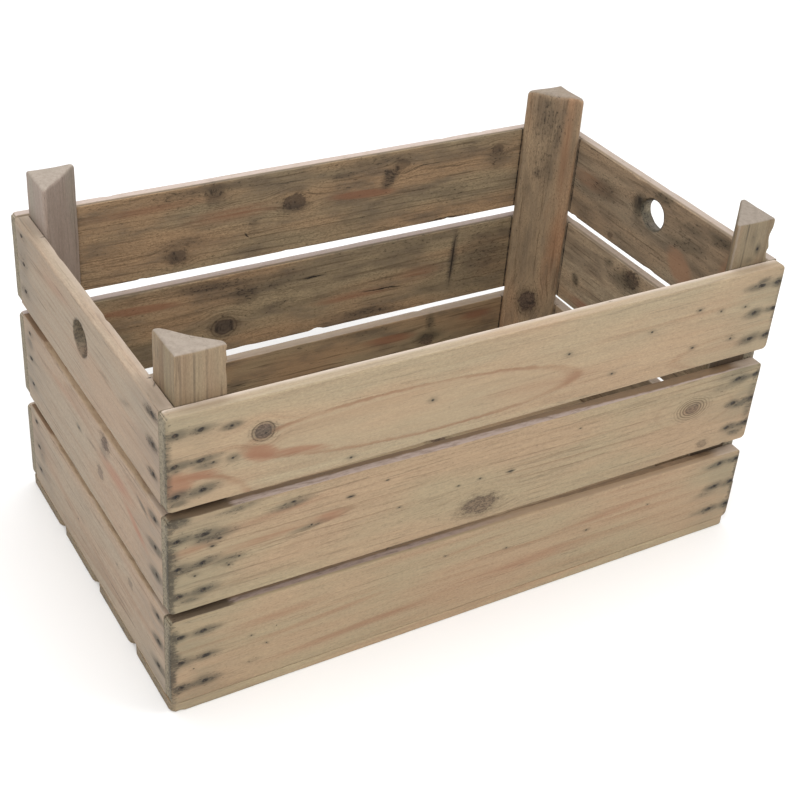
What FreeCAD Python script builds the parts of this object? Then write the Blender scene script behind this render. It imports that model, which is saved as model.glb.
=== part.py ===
"""Wooden apple crate, in millimetres.

Three courses of boards go round four three-cornered posts. The long boards cover the ends of the end
boards, and both are nailed into the posts, which stand above the top course so that crates stack. Four
slats nailed under the frame make the floor. Each top end board has a round hand hole.

The origin is on the ground under the middle of the crate: +X along its length, +Y to its back, +Z up.
A board is drawn in a frame of its own, seen from outside the crate: x along the board from its middle,
y into the wood from its outer face, z up from the ground.
"""

import FreeCAD, Part
import math
import os

import Sketcher

SHEET = "Dimensions"

DIMENSIONS = {
    "crate_length": 600,
    "crate_width": 357,
    "board_width": 89,
    "board_thickness": 13,
    "board_gap": 10.5,
    "board_corner_radius": 5,
    "board_arris_radius": 2,
    "slat_width": 86,
    "slat_thickness": 10,
    "slat_corner_radius": 8,
    "slat_arris_radius": 1,
    "post_leg": 43,
    "post_flat": 4,
    "post_rise": 44,
    "post_arris_radius": 2.5,
    "hand_hole_diameter": 32,
    "left_hole_drop": 33.5,
    "left_hole_shift": -3,
    "right_hole_drop": 28,
    "right_hole_shift": -7.5,
    "nail_head_diameter": 3.6,
    "nail_head_thickness": 1,
    "nail_diameter": 2.2,
    "nail_point": 3,
    "nail_sink": 0.3,
    "board_nail_length": 35,
    "slat_nail_length": 22,
    "end_grain_inset": 6.5,
    "post_nail_inset": 28,
    "nail_row_spacing": 28,
    "end_nail_lift": 6,
    "slat_nail_spacing": 43,
    "side_nail_pitch": 130,
}

# The boards are reclaimed, so their edges aren't quite parallel. Each number is how far a corner of the
# outline lies above its true height: (low left, low right, high left, high right), seen from outside.
EDGE_DRIFT = {
    "front_board_bottom": (0, 0, 1.5, -7),
    "front_board_middle": (-0.5, -3.5, 4, -5.5),
    "front_board_top": (2, -0.5, 0, 0),
    "back_board_bottom": (0, 0, -3, -6),
    "back_board_middle": (-2, -1, -3, -2.5),
    "back_board_top": (-1, 1.5, 0, 0),
    "left_end_board_bottom": (0, 0, 0, 1),
    "left_end_board_middle": (-1.5, -1, 1, 2),
    "left_end_board_top": (1, 1.5, 0, 0),
    "right_end_board_bottom": (0, 0, -2, -1),
    "right_end_board_middle": (0, -0.5, 1.5, 2),
    "right_end_board_top": (3, 3.5, 0, 0),
}
CORNERS = ("low_left", "low_right", "high_left", "high_right")
COURSES = ("bottom", "middle", "top")
ROWS_PER_BOARD = 3
SLATS = 4
SIDE_NAILS = 4


def length_of(name):
    """The expression for a driving dimension."""
    return f"{SHEET}.{name}"


def depth_of(nail, outer_layer):
    """How deep a nail reaches into the wood behind the board or slat that it goes through."""
    return f"({length_of(nail)} + {length_of('nail_sink')} - {length_of(outer_layer)})"


COURSE_PITCH = f"({length_of('board_width')} + {length_of('board_gap')})"
COURSE_SPAN = f"({len(COURSES) - 1} * {COURSE_PITCH})"
SLAT_PITCH = f"(({length_of('crate_width')} - {length_of('slat_width')}) / {SLATS - 1})"
SLAT_SPAN = f"({SLATS - 1} * {SLAT_PITCH})"
END_BOARD_LENGTH = f"({length_of('crate_width')} - 2 * {length_of('board_thickness')})"
HALF_THICKNESS = f"({length_of('board_thickness')} / 2)"
POST_HEIGHT = f"({COURSE_SPAN} + {length_of('board_width')} + {length_of('post_rise')})"
LOWEST_ROW = f"({length_of('board_width')} / 2 - {length_of('nail_row_spacing')})"
ROW_SPAN = f"({ROWS_PER_BOARD - 1} * {length_of('nail_row_spacing')})"
COLUMN_SPAN = f"({length_of('post_nail_inset')} - {length_of('end_grain_inset')})"
SIDE_NAIL_SPAN = f"({SIDE_NAILS - 1} * {length_of('side_nail_pitch')})"
HEAD_DEPTH = f"({length_of('nail_sink')} + {length_of('nail_head_thickness')})"
BOARD_NAIL_DEPTH = depth_of("board_nail_length", "board_thickness")
SLAT_NAIL_DEPTH = depth_of("slat_nail_length", "slat_thickness")


def make_sheet(doc):
    """The spreadsheet that every size is bound to."""
    sheet = doc.addObject("Spreadsheet::Sheet", SHEET)
    values = dict(DIMENSIONS)
    for board, drifts in EDGE_DRIFT.items():
        for corner, drift in zip(CORNERS, drifts):
            values[f"{board}_{corner}"] = drift
    for row, (name, value) in enumerate(values.items(), start=1):
        sheet.set(f"A{row}", name)
        sheet.set(f"B{row}", str(value))
        sheet.setAlias(f"B{row}", name)
    doc.recompute()
    return sheet


# Building blocks: bodies, sketches and features bound to expressions


def make_body(doc, label):
    body = doc.addObject("PartDesign::Body", label)
    body.Label = label
    body.AllowCompound = True
    return body


def origin_feature(body, role):
    """One of the body's own origin planes or axes."""
    return next(feature for feature in body.Origin.OriginFeatures if feature.Role == role)


def make_sketch(body, name, plane, offset=None):
    """A sketch on an origin plane, moved by offset: {axis of the sketch: expression}."""
    sketch = body.newObject("Sketcher::SketchObject", name)
    sketch.AttachmentSupport = [(origin_feature(body, plane), "")]
    sketch.MapMode = "FlatFace"
    for axis, expression in (offset or {}).items():
        sketch.setExpression(f"AttachmentOffset.Base.{axis}", expression)
    return sketch


def bind_constraint(sketch, kind, points, name, expression):
    """A distance or diameter constraint whose value is an expression of the sheet."""
    start = abs(sketch.evalExpression(expression)) or 1.0
    index = sketch.addConstraint(Sketcher.Constraint(kind, *points, start))
    sketch.renameConstraint(index, name)
    sketch.setExpression(f"Constraints.{name}", expression)


def add_polygon(sketch, points):
    """A closed outline through (x, y) points, each an expression and each bound to the origin."""
    values = [
        FreeCAD.Vector(sketch.evalExpression(x), sketch.evalExpression(y), 0) for x, y in points
    ]
    count = len(points)
    for i in range(count):
        sketch.addGeometry(Part.LineSegment(values[i], values[(i + 1) % count]), False)
    for i in range(count):
        sketch.addConstraint(Sketcher.Constraint("Coincident", i, 2, (i + 1) % count, 1))
    for i, (x, y) in enumerate(points):
        pin_coordinate(sketch, "DistanceX", i, values[i].x, f"x{i}", x)
        pin_coordinate(sketch, "DistanceY", i, values[i].y, f"y{i}", y)


def pin_coordinate(sketch, kind, line, value, name, expression):
    """Holds the start of a line at a coordinate, measured from the origin or towards it."""
    if abs(value) < 1e-9:
        axis = -2 if kind == "DistanceX" else -1
        sketch.addConstraint(Sketcher.Constraint("PointOnObject", line, 1, axis))
    elif value > 0:
        bind_constraint(sketch, kind, (-1, 1, line, 1), name, expression)
    else:
        bind_constraint(sketch, kind, (line, 1, -1, 1), name, f"-({expression})")


def add_circle(sketch, x, y, diameter):
    """A circle whose centre and diameter are expressions."""
    centre = FreeCAD.Vector(sketch.evalExpression(x), sketch.evalExpression(y), 0)
    radius = sketch.evalExpression(diameter) / 2
    circle = sketch.addGeometry(Part.Circle(centre, FreeCAD.Vector(0, 0, 1), radius), False)
    for kind, value, name, expression in (
        ("DistanceX", centre.x, "across", x),
        ("DistanceY", centre.y, "up", y),
    ):
        if value < 0:
            bind_constraint(sketch, kind, (circle, 3, -1, 1), name, f"-({expression})")
        else:
            bind_constraint(sketch, kind, (-1, 1, circle, 3), name, expression)
    bind_constraint(sketch, "Diameter", (circle,), "diameter", diameter)


def faces_backwards(sketch):
    """Whether a sketch faces against the axis that it stands across, as one on the XZ plane does."""
    normal = sketch.Placement.Rotation.multVec(FreeCAD.Vector(0, 0, 1))
    return normal.x + normal.y + normal.z < 0


def pad(body, name, sketch, length):
    """Pads a sketch by an expression's length, towards the positive end of its axis."""
    feature = body.newObject("PartDesign::Pad", name)
    feature.Profile = sketch
    feature.Reversed = faces_backwards(sketch)
    feature.setExpression("Length", length)
    body.Document.recompute()
    return feature


def pocket(body, name, sketch, depth):
    """Cuts to a depth, or right through where depth is None, towards the positive end of the axis."""
    before = body.Shape.Volume
    feature = body.newObject("PartDesign::Pocket", name)
    feature.Profile = sketch
    feature.Reversed = not faces_backwards(sketch)
    if depth is None:
        feature.Type = "ThroughAll"
    else:
        feature.setExpression("Length", depth)
    body.Document.recompute()
    if feature.Shape.Volume > before - 1e-3:
        raise RuntimeError(f"{body.Label}: {name} cuts nothing")
    return feature


def fillet(body, name, radius, chosen):
    """Rounds the edges of the body's last feature for which chosen(edge) is true."""
    base = body.Tip
    edges = [f"Edge{i}" for i, edge in enumerate(base.Shape.Edges, start=1) if chosen(edge)]
    feature = body.newObject("PartDesign::Fillet", name)
    feature.Base = (base, edges)
    feature.setExpression("Radius", radius)
    body.Document.recompute()
    return feature


def line_pattern(body, name, axis, length, count, backwards=False):
    """One direction of a pattern: count copies over length."""
    step = body.newObject("PartDesign::LinearPattern", name)
    step.Direction = (origin_feature(body, axis), [""])
    step.Reversed = backwards
    step.Occurrences = count
    step.setExpression("Length", length)
    return step


def mirror(body, name, plane):
    """A mirror image across one of the body's origin planes."""
    step = body.newObject("PartDesign::Mirrored", name)
    step.MirrorPlane = (origin_feature(body, plane), [""])
    return step


def nail_rows(body, name):
    """The rows of nails in one board."""
    return line_pattern(body, f"{name}_rows", "Z_Axis", ROW_SPAN, ROWS_PER_BOARD)


def courses_up(body, name):
    """The courses of boards, one above another."""
    return line_pattern(body, f"{name}_courses", "Z_Axis", COURSE_SPAN, len(COURSES))


def repeat(body, name, originals, steps):
    """Repeats features by the steps in turn, and makes the result the body's tip."""
    feature = body.newObject("PartDesign::MultiTransform", name)
    feature.Originals = originals
    feature.Transformations = steps
    body.Tip = feature
    body.Document.recompute()
    return feature


def along(direction):
    """A test for straight edges that run in a direction."""

    def test(edge):
        if edge.Curve.TypeId != "Part::GeomLine":
            return False
        return abs(edge.tangentAt(edge.FirstParameter).dot(direction)) > 0.99

    return test


def all_points_at(coordinate, values):
    """A test for edges that lie wholly at one of the values of a coordinate."""

    def test(edge):
        ends = [getattr(point, coordinate) for point in edge.discretize(3)]
        return any(all(abs(end - value) < 1e-6 for end in ends) for value in values)

    return test


# Boards


def course_low(course):
    """The height of a course's lower edge, as an expression."""
    return f"({length_of('slat_thickness')} + {course} * {COURSE_PITCH})"


def board_blank(body, length, course):
    """The outline of a board in the XZ plane, padded to its thickness."""
    label = body.Label
    low = course_low(course)
    high = f"({low} + {length_of('board_width')})"
    outline = make_sketch(body, "outline", "XZ_Plane")
    add_polygon(
        outline,
        [
            (f"-{length} / 2", f"{low} + {length_of(label + '_low_left')}"),
            (f"{length} / 2", f"{low} + {length_of(label + '_low_right')}"),
            (f"{length} / 2", f"{high} + {length_of(label + '_high_right')}"),
            (f"-{length} / 2", f"{high} + {length_of(label + '_high_left')}"),
        ],
    )
    return pad(body, "board", outline, length_of("board_thickness"))


def face_nail_holes(body, x, row_height, steps):
    """Holes through a board for nails driven into its outer face, with seats for their heads."""
    features = []
    for name, diameter, depth in (
        ("nail_hole", "nail_diameter", None),
        ("head_seat", "nail_head_diameter", HEAD_DEPTH),
    ):
        sketch = make_sketch(body, name + "_sketch", "XZ_Plane")
        add_circle(sketch, x, row_height, length_of(diameter))
        features.append(pocket(body, name, sketch, depth))
    return repeat(body, "face_nail_holes", features, [nail_rows(body, "face"), *steps])


def make_long_board(doc, side, course, placement):
    """A side board, rounded all over, with two columns of nails at each end."""
    body = make_body(doc, f"{side}_board_{COURSES[course]}")
    board_blank(body, length_of("crate_length"), course)
    fillet(body, "corners", length_of("board_corner_radius"), along(FreeCAD.Vector(0, 1, 0)))
    thickness = DIMENSIONS["board_thickness"]
    fillet(body, "arrises", length_of("board_arris_radius"), all_points_at("y", (0, thickness)))
    first_x = f"-{length_of('crate_length')} / 2 + {length_of('end_grain_inset')}"
    columns = line_pattern(body, "nail_columns", "X_Axis", COLUMN_SPAN, 2)
    other_end = mirror(body, "other_end", "YZ_Plane")
    face_nail_holes(body, first_x, f"{course_low(course)} + {LOWEST_ROW}", [columns, other_end])
    if course == 0:
        steps = [line_pattern(body, "slat_nail_row", "X_Axis", SIDE_NAIL_SPAN, SIDE_NAILS)]
        slat_nail_holes(body, f"-{SIDE_NAIL_SPAN} / 2", steps)
    place(body, placement)
    return body


def make_end_board(doc, side, course, placement):
    """An end board, cut square where the long boards cover its ends."""
    body = make_body(doc, f"{side}_end_board_{COURSES[course]}")
    board_blank(body, END_BOARD_LENGTH, course)
    thickness = DIMENSIONS["board_thickness"]
    on_a_face = all_points_at("y", (0, thickness))
    half_length = body.Tip.Shape.BoundBox.XMax
    on_an_end = all_points_at("x", (-half_length, half_length))

    def long_arris(edge):
        return on_a_face(edge) and not on_an_end(edge)

    fillet(body, "arrises", length_of("board_arris_radius"), long_arris)
    first_x = f"-{length_of('crate_width')} / 2 + {length_of('post_nail_inset')}"
    row_height = f"{course_low(course)} + {LOWEST_ROW}"
    other_end = mirror(body, "other_end", "YZ_Plane")
    face_nail_holes(body, first_x, f"{row_height} + {length_of('end_nail_lift')}", [other_end])
    end_grain_holes(body, row_height)
    if course == 0:
        steps = [
            line_pattern(body, "nails_per_slat", "X_Axis", length_of("slat_nail_spacing"), 2),
            line_pattern(body, "slats", "X_Axis", SLAT_SPAN, SLATS),
        ]
        slat_nail_holes(body, f"-({SLAT_SPAN} + {length_of('slat_nail_spacing')}) / 2", steps)
    if course == len(COURSES) - 1:
        hand_hole(body, side, course)
    place(body, placement)
    return body


def end_grain_holes(body, row_height):
    """Blind holes in both ends of an end board, for the nails that come through the long boards."""
    sketch = make_sketch(body, "end_hole_sketch", "YZ_Plane", {"z": f"-{END_BOARD_LENGTH} / 2"})
    add_circle(sketch, HALF_THICKNESS, row_height, length_of("nail_diameter"))
    hole = pocket(body, "end_hole", sketch, BOARD_NAIL_DEPTH)
    steps = [nail_rows(body, "end_grain"), mirror(body, "other_end_grain", "YZ_Plane")]
    return repeat(body, "end_grain_holes", [hole], steps)


def slat_nail_holes(body, first_x, steps):
    """Blind holes in a bottom board's lower edge, for the nails that hold the slats."""
    sketch = make_sketch(body, "slat_hole_sketch", "XY_Plane", {"z": length_of("slat_thickness")})
    add_circle(sketch, first_x, HALF_THICKNESS, length_of("nail_diameter"))
    hole = pocket(body, "slat_hole", sketch, SLAT_NAIL_DEPTH)
    return repeat(body, "slat_nail_holes", [hole], steps)


def hand_hole(body, side, course):
    """The round hole that a hand goes through, below the top edge of an end board."""
    top = f"{course_low(course)} + {length_of('board_width')}"
    sketch = make_sketch(body, "hand_hole_sketch", "XZ_Plane")
    add_circle(
        sketch,
        length_of(f"{side}_hole_shift"),
        f"{top} - {length_of(side + '_hole_drop')}",
        length_of("hand_hole_diameter"),
    )
    return pocket(body, "hand_hole", sketch, None)


# Posts and slats


def make_post(doc, label, placement, lift_on_y_face, lift_on_x_face):
    """A three-cornered post: its right angle is in the crate's corner, and its two sharp corners are cut
    flat. The faces y = 0 and x = 0 lie against the boards, and each takes a column of nails."""
    body = make_body(doc, label)
    leg = length_of("post_leg")
    flat = length_of("post_flat")
    section = make_sketch(body, "section", "XY_Plane", {"z": length_of("slat_thickness")})
    add_polygon(section, [("0", "0"), (leg, "0"), (leg, flat), (flat, leg), ("0", leg)])
    pad(body, "post", section, POST_HEIGHT)
    upright = along(FreeCAD.Vector(0, 0, 1))
    against_a_board = (all_points_at("x", (0,)), all_points_at("y", (0,)))
    on_top = all_points_at("z", (body.Tip.Shape.BoundBox.ZMax,))

    def worn(edge):
        return on_top(edge) or (upright(edge) and not any(test(edge) for test in against_a_board))

    fillet(body, "arrises", length_of("post_arris_radius"), worn)
    post_nail_holes(body, "y_face", "XZ_Plane", lift_on_y_face)
    post_nail_holes(body, "x_face", "YZ_Plane", lift_on_x_face)
    place(body, placement)
    return body


def post_nail_holes(body, face, plane, lift):
    """Blind holes in one face of a post, for the nails of all three courses."""
    across = f"{length_of('post_nail_inset')} - {length_of('board_thickness')}"
    height = f"{course_low(0)} + {LOWEST_ROW} + {lift}"
    sketch = make_sketch(body, f"{face}_hole_sketch", plane)
    add_circle(sketch, across, height, length_of("nail_diameter"))
    hole = pocket(body, f"{face}_hole", sketch, BOARD_NAIL_DEPTH)
    return repeat(body, f"{face}_holes", [hole], [nail_rows(body, face), courses_up(body, face)])


def make_slat(doc, number):
    """A floor slat, numbered from the front. The outer two are also nailed to the long boards."""
    body = make_body(doc, f"bottom_slat_{number + 1}")
    half_length = f"{length_of('crate_length')} / 2"
    half_width = f"{length_of('slat_width')} / 2"
    outline = make_sketch(body, "outline", "XY_Plane")
    add_polygon(
        outline,
        [
            (f"-{half_length}", f"-{half_width}"),
            (half_length, f"-{half_width}"),
            (half_length, half_width),
            (f"-{half_length}", half_width),
        ],
    )
    pad(body, "slat", outline, length_of("slat_thickness"))
    fillet(body, "corners", length_of("slat_corner_radius"), along(FreeCAD.Vector(0, 0, 1)))
    faces = all_points_at("z", (0, DIMENSIONS["slat_thickness"]))
    fillet(body, "arrises", length_of("slat_arris_radius"), faces)
    slat_holes(
        body,
        "end",
        f"-{half_length} + {length_of('end_grain_inset')}",
        f"-{length_of('slat_nail_spacing')} / 2",
        [mirror(body, "across", "XZ_Plane"), mirror(body, "other_end", "YZ_Plane")],
    )
    if number in (0, SLATS - 1):
        outward = -1 if number == 0 else 1
        slat_holes(
            body,
            "side",
            f"-{SIDE_NAIL_SPAN} / 2",
            f"{outward} * ({half_width} - {length_of('end_grain_inset')})",
            [line_pattern(body, "side_row", "X_Axis", SIDE_NAIL_SPAN, SIDE_NAILS)],
        )
    from_middle = number - (SLATS - 1) / 2
    body.setExpression("Placement.Base.y", f"{from_middle} * {SLAT_PITCH}")
    return body


def slat_holes(body, name, x, y, steps):
    """Holes up through a slat, with seats for the nails' heads in its lower face."""
    features = []
    for kind, diameter, depth in (
        ("nail_hole", "nail_diameter", None),
        ("head_seat", "nail_head_diameter", HEAD_DEPTH),
    ):
        sketch = make_sketch(body, f"{name}_{kind}_sketch", "XY_Plane")
        add_circle(sketch, x, y, length_of(diameter))
        features.append(pocket(body, f"{name}_{kind}", sketch, depth))
    return repeat(body, f"{name}_nail_holes", features, steps)


# Nails


def nail_profile(sketch, nail_length):
    """Half of a nail's outline, with its axis on the sketch's vertical axis and its head at the origin."""
    head = f"{length_of('nail_head_diameter')} / 2"
    shank = f"{length_of('nail_diameter')} / 2"
    sink = length_of("nail_sink")
    add_polygon(
        sketch,
        [
            ("0", sink),
            (head, sink),
            (head, HEAD_DEPTH),
            (shank, HEAD_DEPTH),
            (shank, f"{sink} + {nail_length} - {length_of('nail_point')}"),
            ("0", f"{sink} + {nail_length}"),
        ],
    )


def make_nails(doc, label, plane, offset, nail_length, steps, placement):
    """A group of separate nails: one turned from its profile, the others repeated by steps(body)."""
    body = make_body(doc, label)
    sketch = make_sketch(body, "profile", plane, offset)
    nail_profile(sketch, length_of(nail_length))
    nail = body.newObject("PartDesign::Revolution", "nail")
    nail.Profile = sketch
    nail.ReferenceAxis = (sketch, ["V_Axis"])
    nail.Angle = 360
    doc.recompute()
    repeat(body, "nails", [nail], steps(body))
    place(body, placement)
    return body


def make_long_board_nails(doc, side, end, placement):
    """The nails through one end of a side's three boards, seen from outside as left or right."""
    sign = -1 if end == "left" else 1
    offset = {
        "x": f"{sign} * ({length_of('crate_length')} / 2 - {length_of('end_grain_inset')})",
        "z": f"{course_low(0)} + {LOWEST_ROW}",
    }

    def steps(body):
        inward = line_pattern(body, "columns", "X_Axis", COLUMN_SPAN, 2, backwards=sign > 0)
        return [nail_rows(body, "board"), courses_up(body, "board"), inward]

    return make_nails(
        doc, f"{side}_boards_{end}_nails", "XY_Plane", offset, "board_nail_length", steps, placement
    )


def make_end_board_nails(doc, side, end, placement):
    """The nails through one end of an end's three boards into the post behind them."""
    sign = -1 if end == "left" else 1
    offset = {
        "x": f"{sign} * ({length_of('crate_width')} / 2 - {length_of('post_nail_inset')})",
        "z": f"{course_low(0)} + {LOWEST_ROW} + {length_of('end_nail_lift')}",
    }

    def steps(body):
        return [nail_rows(body, "board"), courses_up(body, "board")]

    return make_nails(
        doc, f"{side}_end_boards_{end}_nails", "XY_Plane", offset, "board_nail_length", steps, placement
    )


def make_slat_end_nails(doc, end):
    """The nails up through one end of the four slats into the end board above."""
    sign = -1 if end == "left" else 1
    offset = {
        "x": f"{sign} * ({length_of('crate_length')} / 2 - {length_of('end_grain_inset')})",
        "z": f"({SLAT_SPAN} + {length_of('slat_nail_spacing')}) / 2",
    }

    def steps(body):
        return [
            line_pattern(body, "per_slat", "Y_Axis", length_of("slat_nail_spacing"), 2),
            line_pattern(body, "slats", "Y_Axis", SLAT_SPAN, SLATS),
        ]

    return make_nails(
        doc, f"slat_{end}_nails", "XZ_Plane", offset, "slat_nail_length", steps, FreeCAD.Placement()
    )


def make_slat_side_nails(doc, side):
    """The nails up through an outer slat into the long board above it."""
    sign = 1 if side == "front" else -1
    offset = {
        "x": f"-{SIDE_NAIL_SPAN} / 2",
        "z": f"{sign} * ({length_of('crate_width')} / 2 - {length_of('end_grain_inset')})",
    }

    def steps(body):
        return [line_pattern(body, "row", "X_Axis", SIDE_NAIL_SPAN, SIDE_NAILS)]

    return make_nails(
        doc, f"slat_{side}_nails", "XZ_Plane", offset, "slat_nail_length", steps, FreeCAD.Placement()
    )


# Putting the crate together


def turned(x, y, degrees):
    """A placement at (x, y) on the ground, turned about Z."""
    return FreeCAD.Placement(
        FreeCAD.Vector(x, y, 0), FreeCAD.Rotation(FreeCAD.Vector(0, 0, 1), degrees)
    )


def place(body, placement):
    """Turns the body, and binds its position to the crate's length and width where it lies on them."""
    body.Placement = placement
    for axis, size in (("x", "crate_length"), ("y", "crate_width")):
        value = getattr(placement.Base, axis)
        half = DIMENSIONS[size] / 2
        inset = half - abs(value)
        sign = "-" if value < 0 else ""
        if math.isclose(inset, 0):
            body.setExpression(f"Placement.Base.{axis}", f"{sign}{length_of(size)} / 2")
        elif math.isclose(inset, DIMENSIONS["board_thickness"]):
            to_face = f"({length_of(size)} / 2 - {length_of('board_thickness')})"
            body.setExpression(f"Placement.Base.{axis}", f"{sign}{to_face}")


def build_crate(doc):
    """Every sub-part of the crate, in the order it would be put together."""
    half_length = DIMENSIONS["crate_length"] / 2
    half_width = DIMENSIONS["crate_width"] / 2
    post_x = half_length - DIMENSIONS["board_thickness"]
    post_y = half_width - DIMENSIONS["board_thickness"]
    lift = length_of("end_nail_lift")
    sides = {"front": turned(0, -half_width, 0), "back": turned(0, half_width, 180)}
    ends = {"left": turned(-half_length, 0, -90), "right": turned(half_length, 0, 90)}

    parts = [
        make_post(doc, "front_left_post", turned(-post_x, -post_y, 0), "0", lift),
        make_post(doc, "front_right_post", turned(post_x, -post_y, 90), lift, "0"),
        make_post(doc, "back_right_post", turned(post_x, post_y, 180), "0", lift),
        make_post(doc, "back_left_post", turned(-post_x, post_y, 270), lift, "0"),
    ]
    for course in range(len(COURSES)):
        parts += [make_end_board(doc, side, course, where) for side, where in ends.items()]
        parts += [make_long_board(doc, side, course, where) for side, where in sides.items()]
    parts += [make_slat(doc, number) for number in range(SLATS)]
    for end in ("left", "right"):
        parts += [make_end_board_nails(doc, side, end, where) for side, where in ends.items()]
        parts += [make_long_board_nails(doc, side, end, where) for side, where in sides.items()]
        parts.append(make_slat_end_nails(doc, end))
    parts += [make_slat_side_nails(doc, side) for side in sides]
    return parts


def check(doc, parts):
    """Stops if any object failed, or if any sub-part is empty or invalid."""
    doc.recompute()
    for thing in doc.Objects:
        if "Invalid" in thing.State or "Error" in thing.State:
            raise RuntimeError(f"{thing.Label} failed: {thing.State}")
    for part in parts:
        if part.Shape.isNull() or not part.Shape.isValid():
            raise RuntimeError(f"{part.Label} has no valid shape")


def export(parts):
    """Writes each sub-part to its own file."""
    os.makedirs("parts", exist_ok=True)
    for part in parts:
        part.Shape.exportStep(f"parts/{part.Label}.step")
        box = part.Shape.BoundBox
        size = f"{box.XLength:.1f} x {box.YLength:.1f} x {box.ZLength:.1f}"
        print(f"{part.Label}: {len(part.Shape.Solids)} solids, {size}")


document = FreeCAD.newDocument("apple_crate")
make_sheet(document)
crate_parts = build_crate(document)
check(document, crate_parts)
export(crate_parts)
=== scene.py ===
"""The looks of a wooden apple crate: worn, slightly uneven pieces of reclaimed pine, nailed together.

Lengths are metres in the crate's own frame: +X along the crate, +Y to its back, +Z up. Each piece of
wood is shaped and painted in a frame of its own: u along its grain, w inwards from its outer face, v across.
Its marks are listed in millimetres of that frame, and on a board v is the height above the ground.
"""

import math
import random

import bmesh
import bpy
import numpy as np
from mathutils import Matrix, Vector, noise


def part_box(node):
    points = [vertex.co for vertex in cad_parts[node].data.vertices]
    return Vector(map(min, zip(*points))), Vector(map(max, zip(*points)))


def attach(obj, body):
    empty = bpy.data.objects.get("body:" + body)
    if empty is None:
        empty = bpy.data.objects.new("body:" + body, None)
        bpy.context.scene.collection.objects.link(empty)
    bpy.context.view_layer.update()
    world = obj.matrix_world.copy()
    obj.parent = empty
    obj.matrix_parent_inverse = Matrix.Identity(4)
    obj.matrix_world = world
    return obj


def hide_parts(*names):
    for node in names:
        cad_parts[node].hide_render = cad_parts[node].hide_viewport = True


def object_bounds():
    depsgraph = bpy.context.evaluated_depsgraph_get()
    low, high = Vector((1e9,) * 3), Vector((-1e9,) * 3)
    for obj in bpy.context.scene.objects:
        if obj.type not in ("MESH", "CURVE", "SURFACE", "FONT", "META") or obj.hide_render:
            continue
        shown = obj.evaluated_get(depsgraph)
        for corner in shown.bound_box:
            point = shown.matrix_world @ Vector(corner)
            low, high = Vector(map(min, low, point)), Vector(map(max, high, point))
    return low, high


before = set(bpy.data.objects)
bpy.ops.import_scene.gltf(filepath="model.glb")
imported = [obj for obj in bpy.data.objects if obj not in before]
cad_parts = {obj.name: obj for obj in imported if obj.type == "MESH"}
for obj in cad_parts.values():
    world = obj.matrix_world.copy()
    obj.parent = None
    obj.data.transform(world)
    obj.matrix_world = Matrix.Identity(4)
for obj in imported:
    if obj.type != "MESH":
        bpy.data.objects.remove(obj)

CAD_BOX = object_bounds()
MM = 0.001
COURSES = ("bottom", "middle", "top")

BOARD_ARRIS = 1.9 * MM
BOARD_CORNER = 5 * MM
SLAT_ARRIS = 0.9 * MM
SLAT_CORNER = 8 * MM
CUT_END_ARRIS = 0.5 * MM
INNER_ARRIS = 0.55
POST_FLAT = 4 * MM
NAIL_HEAD = 1.8 * MM
HAND_HOLE = 16 * MM

GRID_STEP = 3.6 * MM
EDGE_WANDER = 0.35 * MM
FACE_WANDER = 0.12 * MM
BITE_REACH = 9 * MM
NAIL_BOWL = 4.5 * MM
NAIL_BOWL_DEPTH = 0.2 * MM
NAIL_PIT_DEPTH = 0.5 * MM

HOLE_RIM = 1.6 * MM
HOLE_POINTS = 72
HOLE_FLARE = ((-1, 1.8), (0.1, 0.85), (0.5, 0.3), (1, 0))  # depth from a face and widening there, in rims

POST_ROUNDS = tuple(radius * MM for radius in (0.6, 2, 2.6, 2.6, 2))
POST_STEP = 1.6 * MM
POST_ROWS = 100
CROWN_ROWS = 6
POST_WANDER = 0.8 * MM
POST_SAG = 0.35 * MM

BUMP_STRENGTH = 0.5
WOOD_RELIEF = 0.45 * MM
NAIL_RELIEF = 0.2 * MM
OUTER_GRIT = 0.75
PIT_STRETCH = 1.3

CAMERA_PLACE = (-0.6190, -0.9856, 0.8996)
CAMERA_YAW, CAMERA_PITCH, CAMERA_ROLL = (math.radians(angle) for angle in (32.67, -33.67, 4.78))
CAMERA_LENS = 65.36
FLOOR_REACH = 9
FLOOR_DROP = 0.2 * MM
WORLD_LIGHT = 0.72


# Frames


class Timber:
    """One piece of wood: the CAD node that it replaces and the frame that it is shaped and painted in."""

    def __init__(self, node, along, inward, origin=None):
        self.node = node
        self.along = Vector(along).normalized()
        self.inward = Vector(inward).normalized()
        self.across = self.along.cross(self.inward)
        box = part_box(node)
        corners = [Vector((box[i].x, box[j].y, box[k].z)) for i in (0, 1) for j in (0, 1) for k in (0, 1)]
        if origin is None:
            origin = self.inward * min(self.inward.dot(corner) for corner in corners)
        self.origin = Vector(origin)
        self.axes = Matrix((self.along, self.inward, self.across)).transposed()
        local = np.array([self.to_local(corner) for corner in corners])
        self.low, self.high = local.min(axis=0), local.max(axis=0)

    def to_local(self, point):
        """A point of the crate's frame as (u, w, v)."""
        return self.axes.transposed() @ (Vector(point) - self.origin)

    def to_crate(self, points):
        """Rows of (u, w, v) as points of the crate's frame."""
        return points @ np.array(self.axes.transposed()) + np.array(self.origin)

    def cad_points(self):
        """The CAD solid's own vertices as rows of (u, w, v)."""
        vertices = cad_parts[self.node].data.vertices
        return np.array([self.to_local(vertex.co) for vertex in vertices])

    def edge_heights(self):
        """Where the CAD board's long edges lie at its two ends: ((low, high), (low, high))."""
        points = self.cad_points()
        zone = 0.1 * (self.high[0] - self.low[0])
        ends = (points[:, 0] < self.low[0] + zone, points[:, 0] > self.high[0] - zone)
        return [(points[end, 2].min(), points[end, 2].max()) for end in ends]


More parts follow.
